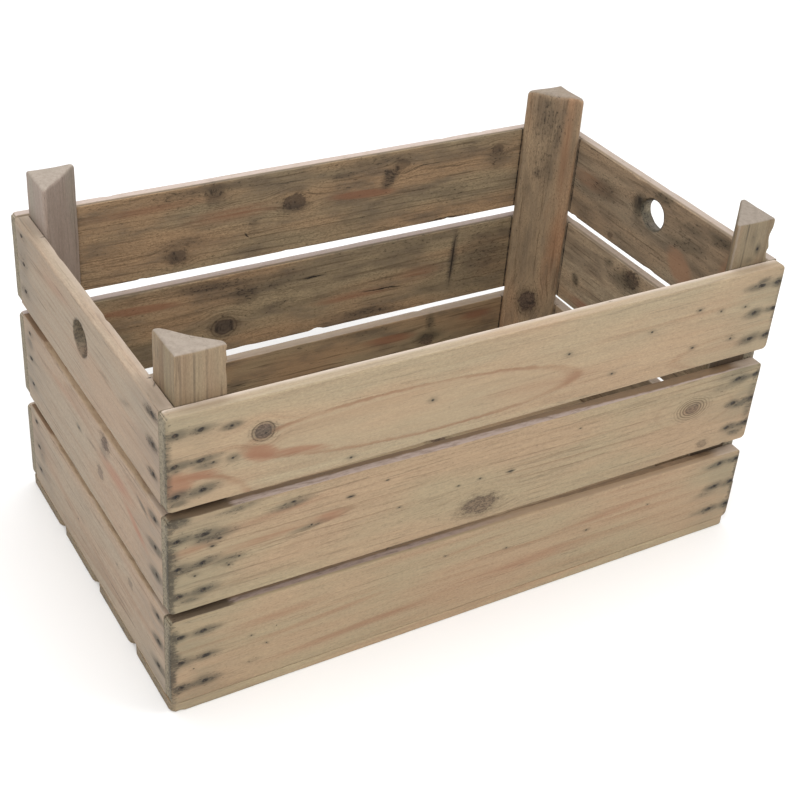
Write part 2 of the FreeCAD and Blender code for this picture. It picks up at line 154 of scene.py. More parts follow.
def nail_heads():
    """The middle of each nail's head, in the crate's frame, from the CAD nails' own vertices."""
    heads = []
    for name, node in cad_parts.items():
        if not name.endswith("_nails"):
            continue
        found = []
        for vertex in node.data.vertices:
            if not any((vertex.co - spot).length < 2.5 * NAIL_HEAD for spot in found):
                found.append(vertex.co.copy())
        heads += found
    return heads


NAIL_POINTS = nail_heads()


def nails_on(timber):
    """The nails whose heads lie in the timber's outer face, as (u, v)."""
    spots = []
    for head in NAIL_POINTS:
        u, w, v = timber.to_local(head)
        on_face = abs(w) < 2 * MM
        inside = timber.low[0] < u < timber.high[0] and timber.low[2] < v < timber.high[2]
        if on_face and inside and not any(math.hypot(u - a, v - b) < 2 * NAIL_HEAD for a, b in spots):
            spots.append((u, v))
    return spots


# Shaping


def wave(points, scale, seed):
    """Smooth noise from -1 to 1 at points, whose coordinates are first multiplied by scale."""
    shift = Vector((7.31, 3.17, 5.53)) * seed
    return np.array([noise.noise(Vector(point) + shift) for point in points * np.array(scale)])


def grid_lines(low, high, step, radius, spots):
    """Positions from low to high: even steps, and closer ones on the arrises and round each nail."""
    count = max(2, round((high - low) / step))
    lines = [low + (high - low) * i / count for i in range(count + 1)]
    for part in (0.25, 0.5, 0.75, 1, 1.5):
        lines += [low + part * radius, high - part * radius]
    for spot in spots:
        for offset in (0, 0.6, 1.2, 1.7, 2.1, 2.6, 3.4, 4.5):
            lines += [spot - offset * MM, spot + offset * MM]
    kept = [low]
    for line in sorted(lines):
        if line - kept[-1] > 0.2 * MM and high - line > 0.2 * MM:
            kept.append(line)
    return [*kept, high]


def box_shell(us, ws, vs):
    """The surface of a box as quads: rows of (u, w, v), and the faces."""
    lines = (us, ws, vs)
    index = {}
    points = []
    faces = []

    def point(*key):
        if key not in index:
            index[key] = len(points)
            points.append([line[i] for line, i in zip(lines, key)])
        return index[key]

    for fixed, (a, b) in ((0, (1, 2)), (1, (2, 0)), (2, (0, 1))):
        for side in (0, len(lines[fixed]) - 1):
            for i in range(len(lines[a]) - 1):
                for j in range(len(lines[b]) - 1):
                    quad = []
                    for di, dj in ((0, 0), (1, 0), (1, 1), (0, 1)):
                        key = [0, 0, 0]
                        key[fixed], key[a], key[b] = side, i + di, j + dj
                        quad.append(point(*key))
                    faces.append(quad if side else quad[::-1])
    return np.array(points), faces


def round_arrises(points, low, high, radius):
    """Rounds a box's edges to a radius, which may differ from point to point."""
    radius = radius[:, None]
    inner = np.clip(points, low + radius, high - radius)
    offset = points - inner
    reach = np.maximum(np.linalg.norm(offset, axis=1, keepdims=True), 1e-9)
    return inner + offset * radius / reach


def round_corners(points, low, high, radius):
    """Rounds the four corners of a box's u-v outline."""
    plane = points[:, (0, 2)]
    inner = np.clip(plane, low[[0, 2]] + radius, high[[0, 2]] - radius)
    offset = plane - inner
    square = np.abs(offset).max(axis=1, keepdims=True)
    reach = np.maximum(np.linalg.norm(offset, axis=1, keepdims=True), 1e-9)
    points[:, (0, 2)] = inner + offset * square / reach


def slant_edges(points, timber, low, high):
    """Moves a board's two long edges from the box's to where the CAD board's are, and no nail row."""
    (left_low, left_high), (right_low, right_high) = timber.edge_heights()
    part = (points[:, 0] - low[0]) / (high[0] - low[0])
    band = 14 * MM
    near_high = np.clip((points[:, 2] - high[2] + band) / band, 0, 1)
    near_low = np.clip((low[2] + band - points[:, 2]) / band, 0, 1)
    rise = left_high + (right_high - left_high) * part - high[2]
    drop = left_low + (right_low - left_low) * part - low[2]
    points[:, 2] += rise * near_high + drop * near_low


def wear_edges(points, low, high, seed):
    """Lets the long edges wander inwards a little."""
    middle = (low[2] + high[2]) / 2
    side = np.sign(points[:, 2] - middle)
    to_edge = np.minimum(points[:, 2] - low[2], high[2] - points[:, 2])
    edge = np.clip(1 - to_edge / (12 * MM), 0, 1)
    along = np.column_stack((points[:, 0], side * 3, np.zeros(len(points))))
    wander = 0.55 + 0.45 * wave(along, (9, 1, 1), seed) + 0.35 * wave(along, (45, 1, 1), seed + 3)
    points[:, 2] -= side * edge * EDGE_WANDER * np.clip(wander, 0, 1.4)


def chip(points, centre, size, depth, towards):
    """Pushes in the points within an ellipsoid, most at its centre."""
    distance = np.linalg.norm((points - np.array(centre)) / np.array(size), axis=1)
    push = np.clip(1 - distance**2, 0, 1) ** 1.5
    points += push[:, None] * depth * np.array(towards)


def random_chips(points, low, high, seed, count):
    """Small chips along the four long arrises."""
    dice = random.Random(seed)
    for _ in range(count):
        u = dice.uniform(low[0], high[0])
        w_side, v_side = dice.choice((0, 1)), dice.choice((0, 1))
        centre = (u, (low[1], high[1])[w_side], (low[2], high[2])[v_side])
        size = (dice.uniform(4, 13) * MM, 3 * MM, dice.uniform(2, 5) * MM)
        inwards = (0, 1 - 2 * w_side, 1 - 2 * v_side)
        chip(points, centre, size, dice.uniform(0.25, 0.8) * MM, inwards)


def sink_nails(points, low, high, spots):
    """A shallow bowl round each nail and a hole for its head, in the outer face."""
    outer = points[:, 1] < (low[1] + high[1]) / 2
    for u, v in spots:
        distance = np.hypot(points[:, 0] - u, points[:, 2] - v)
        bowl = np.clip(1 - distance / NAIL_BOWL, 0, 1) ** 2 * NAIL_BOWL_DEPTH
        hole = (distance < NAIL_HEAD + 0.1 * MM) * NAIL_PIT_DEPTH
        points[:, 1] += outer * (bowl + hole)


def add_mesh(timber, points, faces):
    """A smooth-shaded object from points in the timber's frame."""
    mesh = bpy.data.meshes.new(f"worn_{timber.node}")
    mesh.from_pydata(timber.to_crate(points).tolist(), [], faces)
    mesh.shade_smooth()
    piece = bpy.data.objects.new(mesh.name, mesh)
    bpy.context.scene.collection.objects.link(piece)
    return piece


def tube_faces(rows, around):
    """The faces of a closed tube through rows of points, with a flat face at each end."""
    faces = []
    for row in range(rows - 1):
        for i in range(around):
            here, beside = row * around + i, row * around + (i + 1) % around
            faces.append([here, beside, beside + around, here + around])
    faces.append(list(range(around))[::-1])
    faces.append(list(range((rows - 1) * around, rows * around)))
    return faces


# Boards and slats


def plank_grid(timber, low, high, arris):
    """A plank's box in small quads, which are closer on its arrises and round its nails."""
    spots = nails_on(timber)
    us = grid_lines(low[0], high[0], GRID_STEP, arris, {round(u, 4) for u, v in spots})
    vs = grid_lines(low[2], high[2], GRID_STEP, arris, {round(v, 4) for u, v in spots})
    ws = grid_lines(low[1], high[1], (high[1] - low[1]) / 3, arris, ())
    return box_shell(us, ws, vs)


def round_plank(points, low, high, look, arris, end_arris):
    """Rounds the arrises unevenly: the inner ones less, and those of the ends to a radius of their own."""
    middle = (low + high) / 2
    radius = arris * (1 + 0.3 * wave(points, (22, 60, 25), look["seed"]))
    radius = radius * np.where(points[:, 1] > middle[1], INNER_ARRIS, 1)
    radius *= np.where(points[:, 2] < middle[2], look["low_arris"], 1)
    past = np.array([arris - end_arris, 0, 0])
    points = round_arrises(points, low - past, high + past, radius)
    points[:, 0] = np.clip(points[:, 0], low[0], high[0])
    return points


def waver_faces(points, low, high, seed):
    """Lets the two faces lie a little deeper in some places than in others."""
    from_middle = np.sign(points[:, 1] - (low[1] + high[1]) / 2)
    points[:, 1] -= from_middle * FACE_WANDER * (1 + wave(points, (14, 0, 40), seed + 5))


def bite_edges(points, middle, bites):
    """Takes the bites that a look lists out of a plank's long edges."""
    for u, w, v, length, height, depth in bites:
        side = 1 if v * MM < middle else -1
        size = np.array((length * MM, BITE_REACH, height * MM))
        chip(points, np.array((u, w, v)) * MM, size, depth * MM, (0, 0, side))


def shape_plank(timber, look, arris, corner, end_arris):
    """A board or slat: a box with worn arrises, wandering edges, chips and a dimple at each nail."""
    seed = look["seed"]
    low, high = timber.low.copy(), timber.high.copy()
    heights = np.array(timber.edge_heights())
    low[2], high[2] = heights[:, 0].mean(), heights[:, 1].mean()
    points, faces = plank_grid(timber, low, high, arris)
    points = round_plank(points, low, high, look, arris, end_arris)
    if corner:
        round_corners(points, low, high, corner)
    slant_edges(points, timber, low, high)
    wear_edges(points, low, high, seed)
    random_chips(points, low, high, seed, look["chips"])
    bite_edges(points, (low[2] + high[2]) / 2, look["bites"])
    waver_faces(points, low, high, seed)
    sink_nails(points, low, high, nails_on(timber))
    return add_mesh(timber, points, faces)


# Hand holes


def hand_hole_plug(timber, look):
    """A plug in the shape of the hand hole: an uneven wall that flares at both faces of the board."""
    u, v = (value * MM for value in look["hand_hole"])
    low, high = timber.low[1], timber.high[1]
    outer = [(low + deep * HOLE_RIM, wider) for deep, wider in HOLE_FLARE]
    inner = [(high - deep * HOLE_RIM, wider) for deep, wider in HOLE_FLARE[::-1]]
    rows = [*outer, ((low + high) / 2, 0), *inner]
    torn_at, torn_by = look.get("torn_rim", (0, 0))
    points = []
    for w, wider in rows:
        for i in range(HOLE_POINTS):
            angle = 2 * math.pi * i / HOLE_POINTS
            spot = Vector((math.cos(angle) * 1.7, math.sin(angle) * 1.7, w * 90 + look["seed"]))
            radius = HAND_HOLE - 0.3 * MM + wider * HOLE_RIM + noise.noise(spot) * 0.9 * MM
            radius += torn_by * MM * max(0, math.cos(angle - math.radians(torn_at))) ** 6
            points.append((u + radius * math.cos(angle), w, v + radius * math.sin(angle)))
    faces = [face[::-1] for face in tube_faces(len(rows), HOLE_POINTS)]
    return add_mesh(timber, np.array(points), faces)


def face_outwards(mesh):
    """Turns a closed mesh's faces outwards."""
    work = bmesh.new()
    work.from_mesh(mesh)
    bmesh.ops.recalc_face_normals(work, faces=work.faces)
    work.to_mesh(mesh)
    work.free()


def drill_hand_hole(timber, piece, look):
    """Cuts the hand hole through a board, with an uneven wall and a worn rim."""
    plug = hand_hole_plug(timber, look)
    face_outwards(plug.data)
    cut = piece.modifiers.new("hand hole", "BOOLEAN")
    cut.operation = "DIFFERENCE"
    cut.solver = "EXACT"
    cut.object = plug
    bpy.context.view_layer.update()
    graph = bpy.context.evaluated_depsgraph_get()
    mesh = bpy.data.meshes.new_from_object(piece.evaluated_get(graph))
    piece.modifiers.clear()
    piece.data = mesh
    bpy.data.objects.remove(plug)


# Posts


def rounded_outline(corners, radii, step):
    """A closed outline through the corners, each rounded to its radius, with points a step apart."""
    outline = []
    count = len(corners)
    for i in range(count):
        before, here, after = (Vector(corners[(i + k) % count]) for k in (-1, 0, 1))
        into, out = (here - before).normalized(), (after - here).normalized()
        cut = radii[i] * math.tan(into.angle(out) / 2)
        start, end = here - into * cut, here + out * cut
        for k in range(5):
            t = k / 4
            outline.append((start.lerp(here, t)).lerp(here.lerp(end, t), t))
        following = Vector(corners[(i + 1) % count])
        next_turn = out.angle((Vector(corners[(i + 2) % count]) - following).normalized())
        goal = following - out * radii[(i + 1) % count] * math.tan(next_turn / 2)
        pieces = max(1, round((goal - end).length / step))
        outline += [end.lerp(goal, k / pieces) for k in range(1, pieces)]
    return np.array([tuple(point) for point in outline])


def post_section(leg):
    """A post's outline as (w, v): a right angle in the crate's corner, and two legs with blunt ends."""
    a, b = np.array((1, -1)) / math.sqrt(2), np.array((1, 1)) / math.sqrt(2)
    corners = [0 * a, leg * a, leg * a + POST_FLAT * b, POST_FLAT * a + leg * b, leg * b]
    return rounded_outline([tuple(corner) for corner in corners], POST_ROUNDS, POST_STEP)


def post_rows(section, centre, foot, top, crown):
    """The outline repeated up the post, drawn in over the crown, and three times more on the flat top."""
    levels = [(foot + (top - crown - foot) * i / POST_ROWS, 0.0) for i in range(POST_ROWS + 1)]
    for i in range(1, CROWN_ROWS + 1):
        angle = math.pi / 2 * i / CROWN_ROWS
        levels.append((top - crown + crown * math.sin(angle), crown * (1 - math.cos(angle))))
    reach = np.linalg.norm(section - centre, axis=1, keepdims=True)
    rows = []
    for height, pull in levels:
        ring = section + (centre - section) / reach * pull
        rows.append(np.column_stack((np.full(len(ring), height), ring)))
    for part in (0.75, 0.5, 0.25):
        plane = centre + (rows[-1][:, 1:] - centre) * part / (part + 0.25)
        rows.append(np.column_stack((np.full(len(plane), top), plane)))
    return rows


def wear_post(points, centre, top, seed):
    """Lets a post's sides wander inwards, and its top sag a little."""
    away = points[:, 1:] - centre
    reach = np.maximum(np.linalg.norm(away, axis=1, keepdims=True), 1e-9)
    wander = 0.5 + 0.5 * wave(points, (16, 60, 60), seed) + 0.3 * wave(points, (60, 90, 90), seed + 2)
    edge = np.clip(reach[:, 0] / (16 * MM) - 0.4, 0, 1)
    points[:, 1:] -= away / reach * (edge * np.clip(wander, 0, 1.5) * POST_WANDER)[:, None]
    on_top = np.clip((points[:, 0] - top + 2 * MM) / (2 * MM), 0, 1)
    points[:, 0] -= on_top * POST_SAG * (1 + wave(points, (0, 90, 90), seed + 4))


def shape_post(timber, look):
    """A three-cornered post with wandering edges, bites out of it and a top worn round."""
    low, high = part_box(timber.node)
    section = post_section(high.x - low.x)
    centre = section.mean(axis=0)
    top = timber.high[0]
    rows = post_rows(section, centre, timber.low[0], top, look["crown"] * MM)
    points = np.vstack(rows)
    wear_post(points, centre, top, look["seed"])
    for u, w, v, length, width, depth in look["bites"]:
        spot = np.array((u, w, v)) * MM
        pull = np.array((0, *(centre - spot[1:])))
        chip(points, spot, np.array((length, width, width)) * MM, depth * MM, pull / np.linalg.norm(pull))
    return add_mesh(timber, points, tube_faces(len(rows), len(section)))


# Node writing


class Graph:
    """A new material. Each method adds a node or two to it and returns the output."""

    def __init__(self, name):
        self.material = bpy.data.materials.new(name)
        self.material.use_nodes = True
        self.tree = self.material.node_tree
        self.tree.nodes.clear()

    def node(self, kind, **settings):
        made = self.tree.nodes.new(kind)
        for name, value in settings.items():
            setattr(made, name, value)
        return made

    def feed(self, socket, value):
        """Links a socket to an output, or sets it to a plain value."""
        if isinstance(value, bpy.types.NodeSocket):
            self.tree.links.new(value, socket)
        else:
            socket.default_value = value

    def feed_all(self, sockets, *values):
        for socket, value in zip(sockets, values):
            self.feed(socket, value)

    def math(self, operation, *values):
        made = self.node("ShaderNodeMath", operation=operation)
        self.feed_all(made.inputs, *values)
        return made.outputs[0]

    def plus(self, base, value, times):
        """A base, and a value times a factor on top of it."""
        return self.math("MULTIPLY_ADD", value, times, base)

    def ruffle(self, base, grain, amount):
        """A base that noise from 0 to 1 moves up and down."""
        return self.plus(base, self.math("SUBTRACT", grain, 0.5), amount)

    def apart(self, a, b):
        """How far apart two values are."""
        return self.math("ABSOLUTE", self.math("SUBTRACT", a, b))

    def product(self, *values):
        result = values[0]
        for value in values[1:]:
            result = self.math("MULTIPLY", result, value)
        return result

    def vector(self, operation, *values):
        made = self.node("ShaderNodeVectorMath", operation=operation)
        self.feed_all(made.inputs, *values)
        return made.outputs["Value" if operation in ("LENGTH", "DISTANCE", "DOT_PRODUCT") else "Vector"]

    def split(self, vector):
        made = self.node("ShaderNodeSeparateXYZ")
        self.feed(made.inputs[0], vector)
        return made.outputs

    def combine(self, *values):
        made = self.node("ShaderNodeCombineXYZ")
        self.feed_all(made.inputs, *values)
        return made.outputs[0]

    def frame(self, vector, location, rotation, scale):
        """A position as seen from a frame with that location, rotation and unit lengths."""
        made = self.node("ShaderNodeMapping", vector_type="TEXTURE")
        self.feed_all(made.inputs, vector, location, rotation, scale)
        return made.outputs[0]

    def noise(self, vector, stretch, detail=2.0, roughness=0.5, seed=0.0):
        """Noise from 0 to 1, with a number of grains to the metre along each axis."""
        made = self.node("ShaderNodeTexNoise")
        scaled = self.vector("MULTIPLY_ADD", vector, stretch, (seed * 1.7, seed * 2.3, seed * 3.1))
        names = ("Vector", "Scale", "Detail", "Roughness")
        self.feed_all([made.inputs[name] for name in names], scaled, 1.0, detail, roughness)
        return made.outputs[0]

    def fade(self, value, start, end, low=0.0, high=1.0):
        """Goes smoothly from low at start to high at end."""
        made = self.node("ShaderNodeMapRange", interpolation_type="SMOOTHSTEP")
        if start > end:
            start, end, low, high = end, start, high, low
        self.feed_all(made.inputs, value, start, end, low, high)
        return made.outputs[0]

    def mix(self, factor, a, b, blend="MIX"):
        made = self.node("ShaderNodeMix", data_type="RGBA", blend_type=blend)
        names = ("Factor_Float", "A_Color", "B_Color")
        sockets = [next(s for s in made.inputs if s.identifier == name) for name in names]
        self.feed_all(sockets, factor, a, b)
        return next(s for s in made.outputs if s.identifier == "Result_Color")

    def surface(self, colour, roughness, height, relief, settings):
        """Ends the material in a shader with plain settings and bumps up to a relief high."""
        bump = self.node("ShaderNodeBump")
        bump.inputs["Strength"].default_value = BUMP_STRENGTH
        bump.inputs["Distance"].default_value = relief
        self.feed(bump.inputs["Height"], height)
        shader = self.node("ShaderNodeBsdfPrincipled")
        for name, value in settings.items():
            shader.inputs[name].default_value = value
        self.feed(shader.inputs["Base Color"], colour)
        self.feed(shader.inputs["Roughness"], roughness)
        self.feed(shader.inputs["Normal"], bump.outputs[0])
        output = self.node("ShaderNodeOutputMaterial")
        self.feed(output.inputs["Surface"], shader.outputs[0])


def paint(red, green, blue):
    """A colour given as it looks on a screen, from 0 to 255, as the linear one that a shader takes."""
    linear = [((c / 255 + 0.055) / 1.055) ** 2.4 for c in (red, green, blue)]
    return (*linear, 1.0)


# Soft marks, which are stored on the mesh


def cover(spots, marks, face=0):
    """How far each spot lies within soft ovals (u, v, length, height, amount, tilt, w, depth), from 0 to 1.

    The ovals lie in the face at depth w = face, and reach 7 mm into the wood, unless they say otherwise.
    """
    total = np.zeros(len(spots))
    for u, v, length, height, amount, *rest in marks:
        tilt, w, depth = (*rest, *(0, face, 7)[len(rest):])
        turn = math.radians(tilt)
        du, dw, dv = (spots - np.array((u, w, v)) * MM).T
        along = (du * math.cos(turn) + dv * math.sin(turn)) / (length / 2 * MM)
        across = (dv * math.cos(turn) - du * math.sin(turn)) / (height / 2 * MM)
        reach = np.sqrt(along**2 + across**2 + (dw / (depth * MM)) ** 2)
        total = np.maximum(total, amount * np.clip(1.3 * (1 - reach), 0, 1))
    return total


def nail_marks(look, nails):
    """The stain that runs along the grain from each nail, and the dark ragged hole that it sits in."""
    dice = random.Random(look["seed"] + 100)
    stains = []
    holes = []
    for u, v in nails:
        middle = (u / MM + dice.uniform(-2, 2), v / MM)
        size = (dice.uniform(30, 54), dice.uniform(12, 18))
        smear = look["smear"] if u < 0 else 1.0
        stains.append((*middle, *size, dice.uniform(0.8, 1.0) * smear, dice.uniform(0, 7)))
        size = dice.uniform(9, 15)
        holes.append((u / MM + dice.uniform(-2, 2), v / MM, size, 6.0, 1.0, dice.uniform(0, 10)))
    return stains, holes


def store_marks(timber, piece, look, nails):
    """Stores at each vertex how far it lies within stains, coloured patches and nail holes, as a vector."""
    spots = np.empty(len(piece.data.vertices) * 3)
    piece.data.vertices.foreach_get("co", spots)
    spots = (spots.reshape(-1, 3) - np.array(timber.origin)) @ np.array(timber.axes)
    stains, holes = nail_marks(look, nails)
    pit_stains = [(u, v, size * 9, size * 4.5, 0.6) for u, v, size, *_ in look["pits"]]
    stained = cover(spots, [*look["stains"], *stains, *pit_stains])
    stained = np.maximum(stained, cover(spots, look["inner_stains"], look["inner_face"]))
    patched = cover(spots, look["patches"])
    patched = np.maximum(patched, cover(spots, look["inner_patches"], look["inner_face"]))
    if "hand_hole" in look:
        u, v = (value * MM for value in look["hand_hole"])
        beyond = np.hypot(spots[:, 0] - u, spots[:, 2] - v) - HAND_HOLE
        stained = np.maximum(stained, look["hole_dirt"] * np.clip(1.4 - beyond / (1.5 * MM), 0, 1))
    layer = piece.data.attributes.new("marks", "FLOAT_VECTOR", "POINT")
    layer.data.foreach_set("vector", np.column_stack((stained, patched, cover(spots, holes))).ravel())


# Wood

# Each noise: grains to the metre along u, w and v, detail, roughness and what is added to the piece's seed.
NOISES = {
    "sway": ((3, 6, 12), 1.0, 0.5, 0),
    "waver": ((12, 30, 40), 2.0, 0.5, 9),
    "strength": ((8, 60, 30), 2.0, 0.5, 2),
    "ragged": ((90, 400, 220), 3.0, 0.6, 0),
    "speckle": ((330, 800, 800), 3.0, 0.75, 6),
    "fibre": ((40, 900, 900), 4.0, 0.62, 0),
    "streak": ((7, 130, 130), 3.0, 0.6, 4),
    "hair": ((14, 380, 380), 3.0, 0.65, 30),
    "tint": ((5, 40, 22), 2.0, 0.5, 1),
    "blotch": ((16, 90, 60), 4.0, 0.6, 7),
    "pores": ((260, 260, 260), 3.0, 0.6, 22),
    "pepper": ((190, 520, 480), 3.0, 0.68, 3),
    "checks": ((5, 30, 110), 2.0, 0.5, 12),
    "checked": ((7, 50, 50), 1.0, 0.5, 14),
}


def tone_palette(palette, look):
    """The palette times the look's tone and light factor, or only its inner colours where depth says what is
    inner wood.
    Above 1 the factor is painted light, on pieces that lie in the crate's shade.
    """
    toned = palette if "inside" in look else ("inner", "inner_warm", "grime")
    lit = {name: (*(look["tone_and_light"] * channel for channel in palette[name][:3]), 1) for name in toned}
    return {**palette, **lit, **look.get("palette", {})}


class Wood(Graph):
    """Weathered pine: the masks and noises that its layers share, and its colour and dirt so far."""

    def __init__(self, timber, look, palette):
        super().__init__(f"wood_{timber.node}")
        self.timber, self.look, self.palette = timber, look, tone_palette(palette, look)
        spot = self.node("ShaderNodeTexCoord")
        self.normal = spot.outputs["Normal"]
        self.place = self.frame(spot.outputs["Object"], timber.origin, timber.axes.to_euler(), (1, 1, 1))
        marks = self.node("ShaderNodeAttribute", attribute_name="marks")
        self.stained, self.patched, self.holed = self.split(marks.outputs["Vector"])
        self.u, self.w, self.v = self.split(self.place)
        self.ragged, self.speckle = self.texture("ragged"), self.texture("speckle")
        self.find_masks()
        self.bend_round_knots()
        self.late = self.growth_rings()
        self.fibre, self.streak = self.texture("fibre", self.bent), self.texture("streak", self.bent)
        self.blotch = self.texture("blotch")
        self.sooty = self.ruffle(self.blotch, self.speckle, 0.5)
        self.hair = self.texture("hair", self.bent)

    def texture(self, name, place=None):
        """A noise by its name, at the place or at another, such as the one bent round the knots."""
        stretch, detail, roughness, shift = NOISES[name]
        place = self.place if place is None else place
        return self.noise(place, stretch, detail, roughness, self.look["seed"] + shift)

    def lay(self, amount, colour):
        """Lays a colour, or the palette's colour of that name, over the colour so far."""
        colour = self.palette[colour] if isinstance(colour, str) else colour
        self.colour = self.mix(amount, self.colour, colour)

    def darken(self, mark):
        """Adds a mark to the dirt."""
        self.dirt = self.math("MAXIMUM", self.dirt, mark)

    def oval(self, place, u, v, length, height, tilt=0.0, w=0.0, depth=9.0):
        """The distance from an oval's middle, 1 on its rim."""
        size = (length / 2 * MM, depth * MM, height / 2 * MM)
        seen = self.frame(place, (u * MM, w * MM, v * MM), (0, -math.radians(tilt), 0), size)
        return self.vector("LENGTH", seen)

    def shaken(self, across, inwards=0.0):
        """The place with shifts across the grain and inwards."""
        return self.vector("ADD", self.place, self.combine(0.0, inwards, across))

    # Masks and grain

    def find_masks(self):
        """The inner and the outer face, the end grain, the upper edge, and the ends of the piece."""
        timber, look = self.timber, self.look
        thickness = timber.high[1] - timber.low[1]
        self.inside = look.get("inside")
        if self.inside is None:
            inner_at = self.plus(self.w, self.ragged, 3 * MM)
            self.inside = self.fade(inner_at, thickness * 0.66 + 0.5 * MM, thickness * 0.84 + 2 * MM)
        self.outside = self.math("SUBTRACT", 1.0, self.inside)
        facing_end = self.math("ABSOLUTE", self.vector("DOT_PRODUCT", self.normal, timber.along))
        self.end_grain = self.fade(facing_end, 0.35, 0.8)
        # The faces that look along v, upwards on a board, where the rims paint light and shade.
        facing_up = self.vector("DOT_PRODUCT", self.normal, look.get("edge", timber.across))
        self.upper = self.fade(self.plus(facing_up, self.ragged, 0.3), 0.9, 1.08)
        self.half = (timber.high[0] - timber.low[0]) / 2
        self.middle = (timber.high[0] + timber.low[0]) / 2
        self.from_middle = self.apart(self.u, self.middle)

    def bend_round_knots(self):
        """Spreads the grain's lines round each knot, and keeps each knot's distance for its paint."""
        self.knots = []
        v = self.v
        for knot_u, knot_v, radius, darkness, longer, *ringed in self.look["knots"]:
            spot, size = (knot_u * MM, 0, knot_v * MM), (radius * longer * MM, 0.2, radius * 0.9 * MM)
            distance = self.vector("LENGTH", self.frame(self.place, spot, (0, 0, 0), size))
            pull = self.product(self.fade(distance, 3.6, 0.8), 0.8)
            v = self.plus(v, self.math("SUBTRACT", knot_v * MM, v), pull)
            self.knots.append((distance, darkness, *ringed))
        self.bent = self.combine(self.u, self.w, v)

    def ring_count(self):
        """How many growth rings lie between a place and the pith, which slopes away from the grain."""
        look = self.look
        pith_w, pith_v = (value * MM for value in look["pith"])
        sway = self.product(self.texture("sway", self.bent), look["sway"] * MM)
        u, w, v = self.split(self.bent)
        depth = self.math("SUBTRACT", w, self.plus(pith_w, u, look["slope"]))
        depth = self.math("ADD", depth, sway)
        height = self.plus(self.math("SUBTRACT", v, pith_v), self.texture("waver", self.bent), 5 * MM)
        squares = self.math("ADD", self.product(depth, depth), self.product(height, height))
        return self.math("DIVIDE", self.math("SQRT", squares), look["gap"] * MM)

    def growth_rings(self):
        """The dark latewood lines, each as strong as its year made it, from 0 to 1."""
        turns = self.ring_count()
        step = self.math("FRACT", turns)
        late = self.product(self.fade(step, self.look["line_from"], 0.94), self.fade(step, 1.0, 0.95))
        uneven = self.node("ShaderNodeTexWhiteNoise", noise_dimensions="1D")
        year = self.math("ADD", self.math("FLOOR", turns), self.look["seed"] * 17.0)
        self.feed(uneven.inputs["W"], year)
        patchy = self.fade(self.texture("strength"), 0.35, 0.62, 0.12, 1.0)
        return self.product(late, self.plus(0.25, uneven.outputs[0], 0.75), patchy)

    # Paint, from the wood's own colour to the dirt on top

    def lay_ground(self):
        """The wood's own colour on its outer and inner faces, with growth rings, streaks and hairlines."""
        look, palette, inside = self.look, self.palette, self.inside
        tint = self.fade(self.texture("tint"), 0.38, 0.62)
        outer = self.mix(tint, palette["outer"], palette["outer_warm"])
        inner = self.mix(tint, palette["inner"], palette["inner_warm"])
        inner = self.mix(self.fade(self.sooty, 0.42, 0.72, 0.0, 0.75), inner, palette["grime"])
        self.colour = self.mix(inside, outer, inner)
        late_colour = self.mix(inside, palette["late"], palette["late_inner"])
        contrast = self.plus(look["contrast"], inside, look["inner_contrast"])
        self.lay(self.product(self.late, contrast), late_colour)
        self.lay(self.fade(self.streak, 0.42, 0.78, 0.0, 0.22), late_colour)
        hairlines = self.fade(self.hair, 0.54, 0.72)
        self.lay(self.product(hairlines, self.plus(look["hair"], inside, 0.35)), "late_inner")

    def lay_weather(self):
        """The grain's fine light and dark, and the grey that comes over the ends outside."""
        grit = self.plus(OUTER_GRIT, self.inside, self.look["grit"] - OUTER_GRIT)
        shade = self.ruffle(self.ruffle(1.0, self.fibre, 0.5), self.speckle, grit)
        grey = self.node("ShaderNodeCombineColor")
        self.feed_all(grey.inputs, shade, shade, shade)
        self.colour = self.mix(1.0, self.colour, grey.outputs[0], "MULTIPLY")
        near_end = self.fade(self.from_middle, self.half - 85 * MM, self.half - 5 * MM)
        blotches = self.fade(self.sooty, 0.35, 0.65)
        self.lay(self.product(near_end, blotches, self.look["end_weather"], self.outside), "weather")

    def lay_arches(self):
        """Growth rings cut at a slant: long ovals that darken towards a crisp outline."""
        for u, v, length, height, tilt, amount in self.look["arches"]:
            shaken = self.shaken(self.product(self.ragged, 4 * MM))
            reach = self.oval(shaken, u, v + 2, length, height, tilt)
            line = self.product(self.fade(reach, 0.86, 0.97), self.fade(reach, 1.05, 0.98))
            self.lay(self.product(self.fade(reach, 1.03, 0.93), 0.4 * amount), "outer_warm")
            self.lay(self.product(line, amount, self.fade(self.blotch, 0.3, 0.65, 0.35, 1.0)), "late")

    def lay_patches(self):
        """The reddish patches, which follow the grain's hairlines."""
        patched = self.product(self.patched, self.plus(0.35, self.hair, 1.4))
        self.lay(self.fade(patched, 0.03, 0.7, 0.0, 0.72), "patch")

    def lay_knots(self):
        """The knots, each with a dark halo. A ringed one is calmer, and fine rings lie in its halo."""
        dark, pale = self.palette["knot_dark"], self.palette["knot"]
        for distance, darkness, *ringed in self.knots:
            unrest = 0.45 if ringed else 1.0
            wobble = self.ruffle(distance, self.ragged, 1.9 * unrest)
            wobble = self.ruffle(wobble, self.speckle, 1.3 * unrest)
            if ringed:
                halo = self.fade(wobble, ringed[0], 0.9, 0.0, 0.6 * darkness)
                ripple = self.math("SINE", self.plus(self.product(distance, 15.0), self.ragged, 3.0))
                halo = self.product(halo, self.fade(ripple, -0.4, 0.9, 0.4, 1.7))
            else:
                halo = self.fade(wobble, 2.3, 0.9, 0.0, 0.45 * darkness)
            self.lay(halo, "late_inner")
            heart = self.mix(self.fade(self.speckle, 0.4, 0.6), dark, pale)
            heart = self.mix(self.fade(wobble, 0.8, 1.15, 0.0, 0.5), heart, dark)
            self.lay(self.fade(wobble, 1.25, 0.7 if ringed else 1.05, 0.0, 0.9 * darkness), heart)

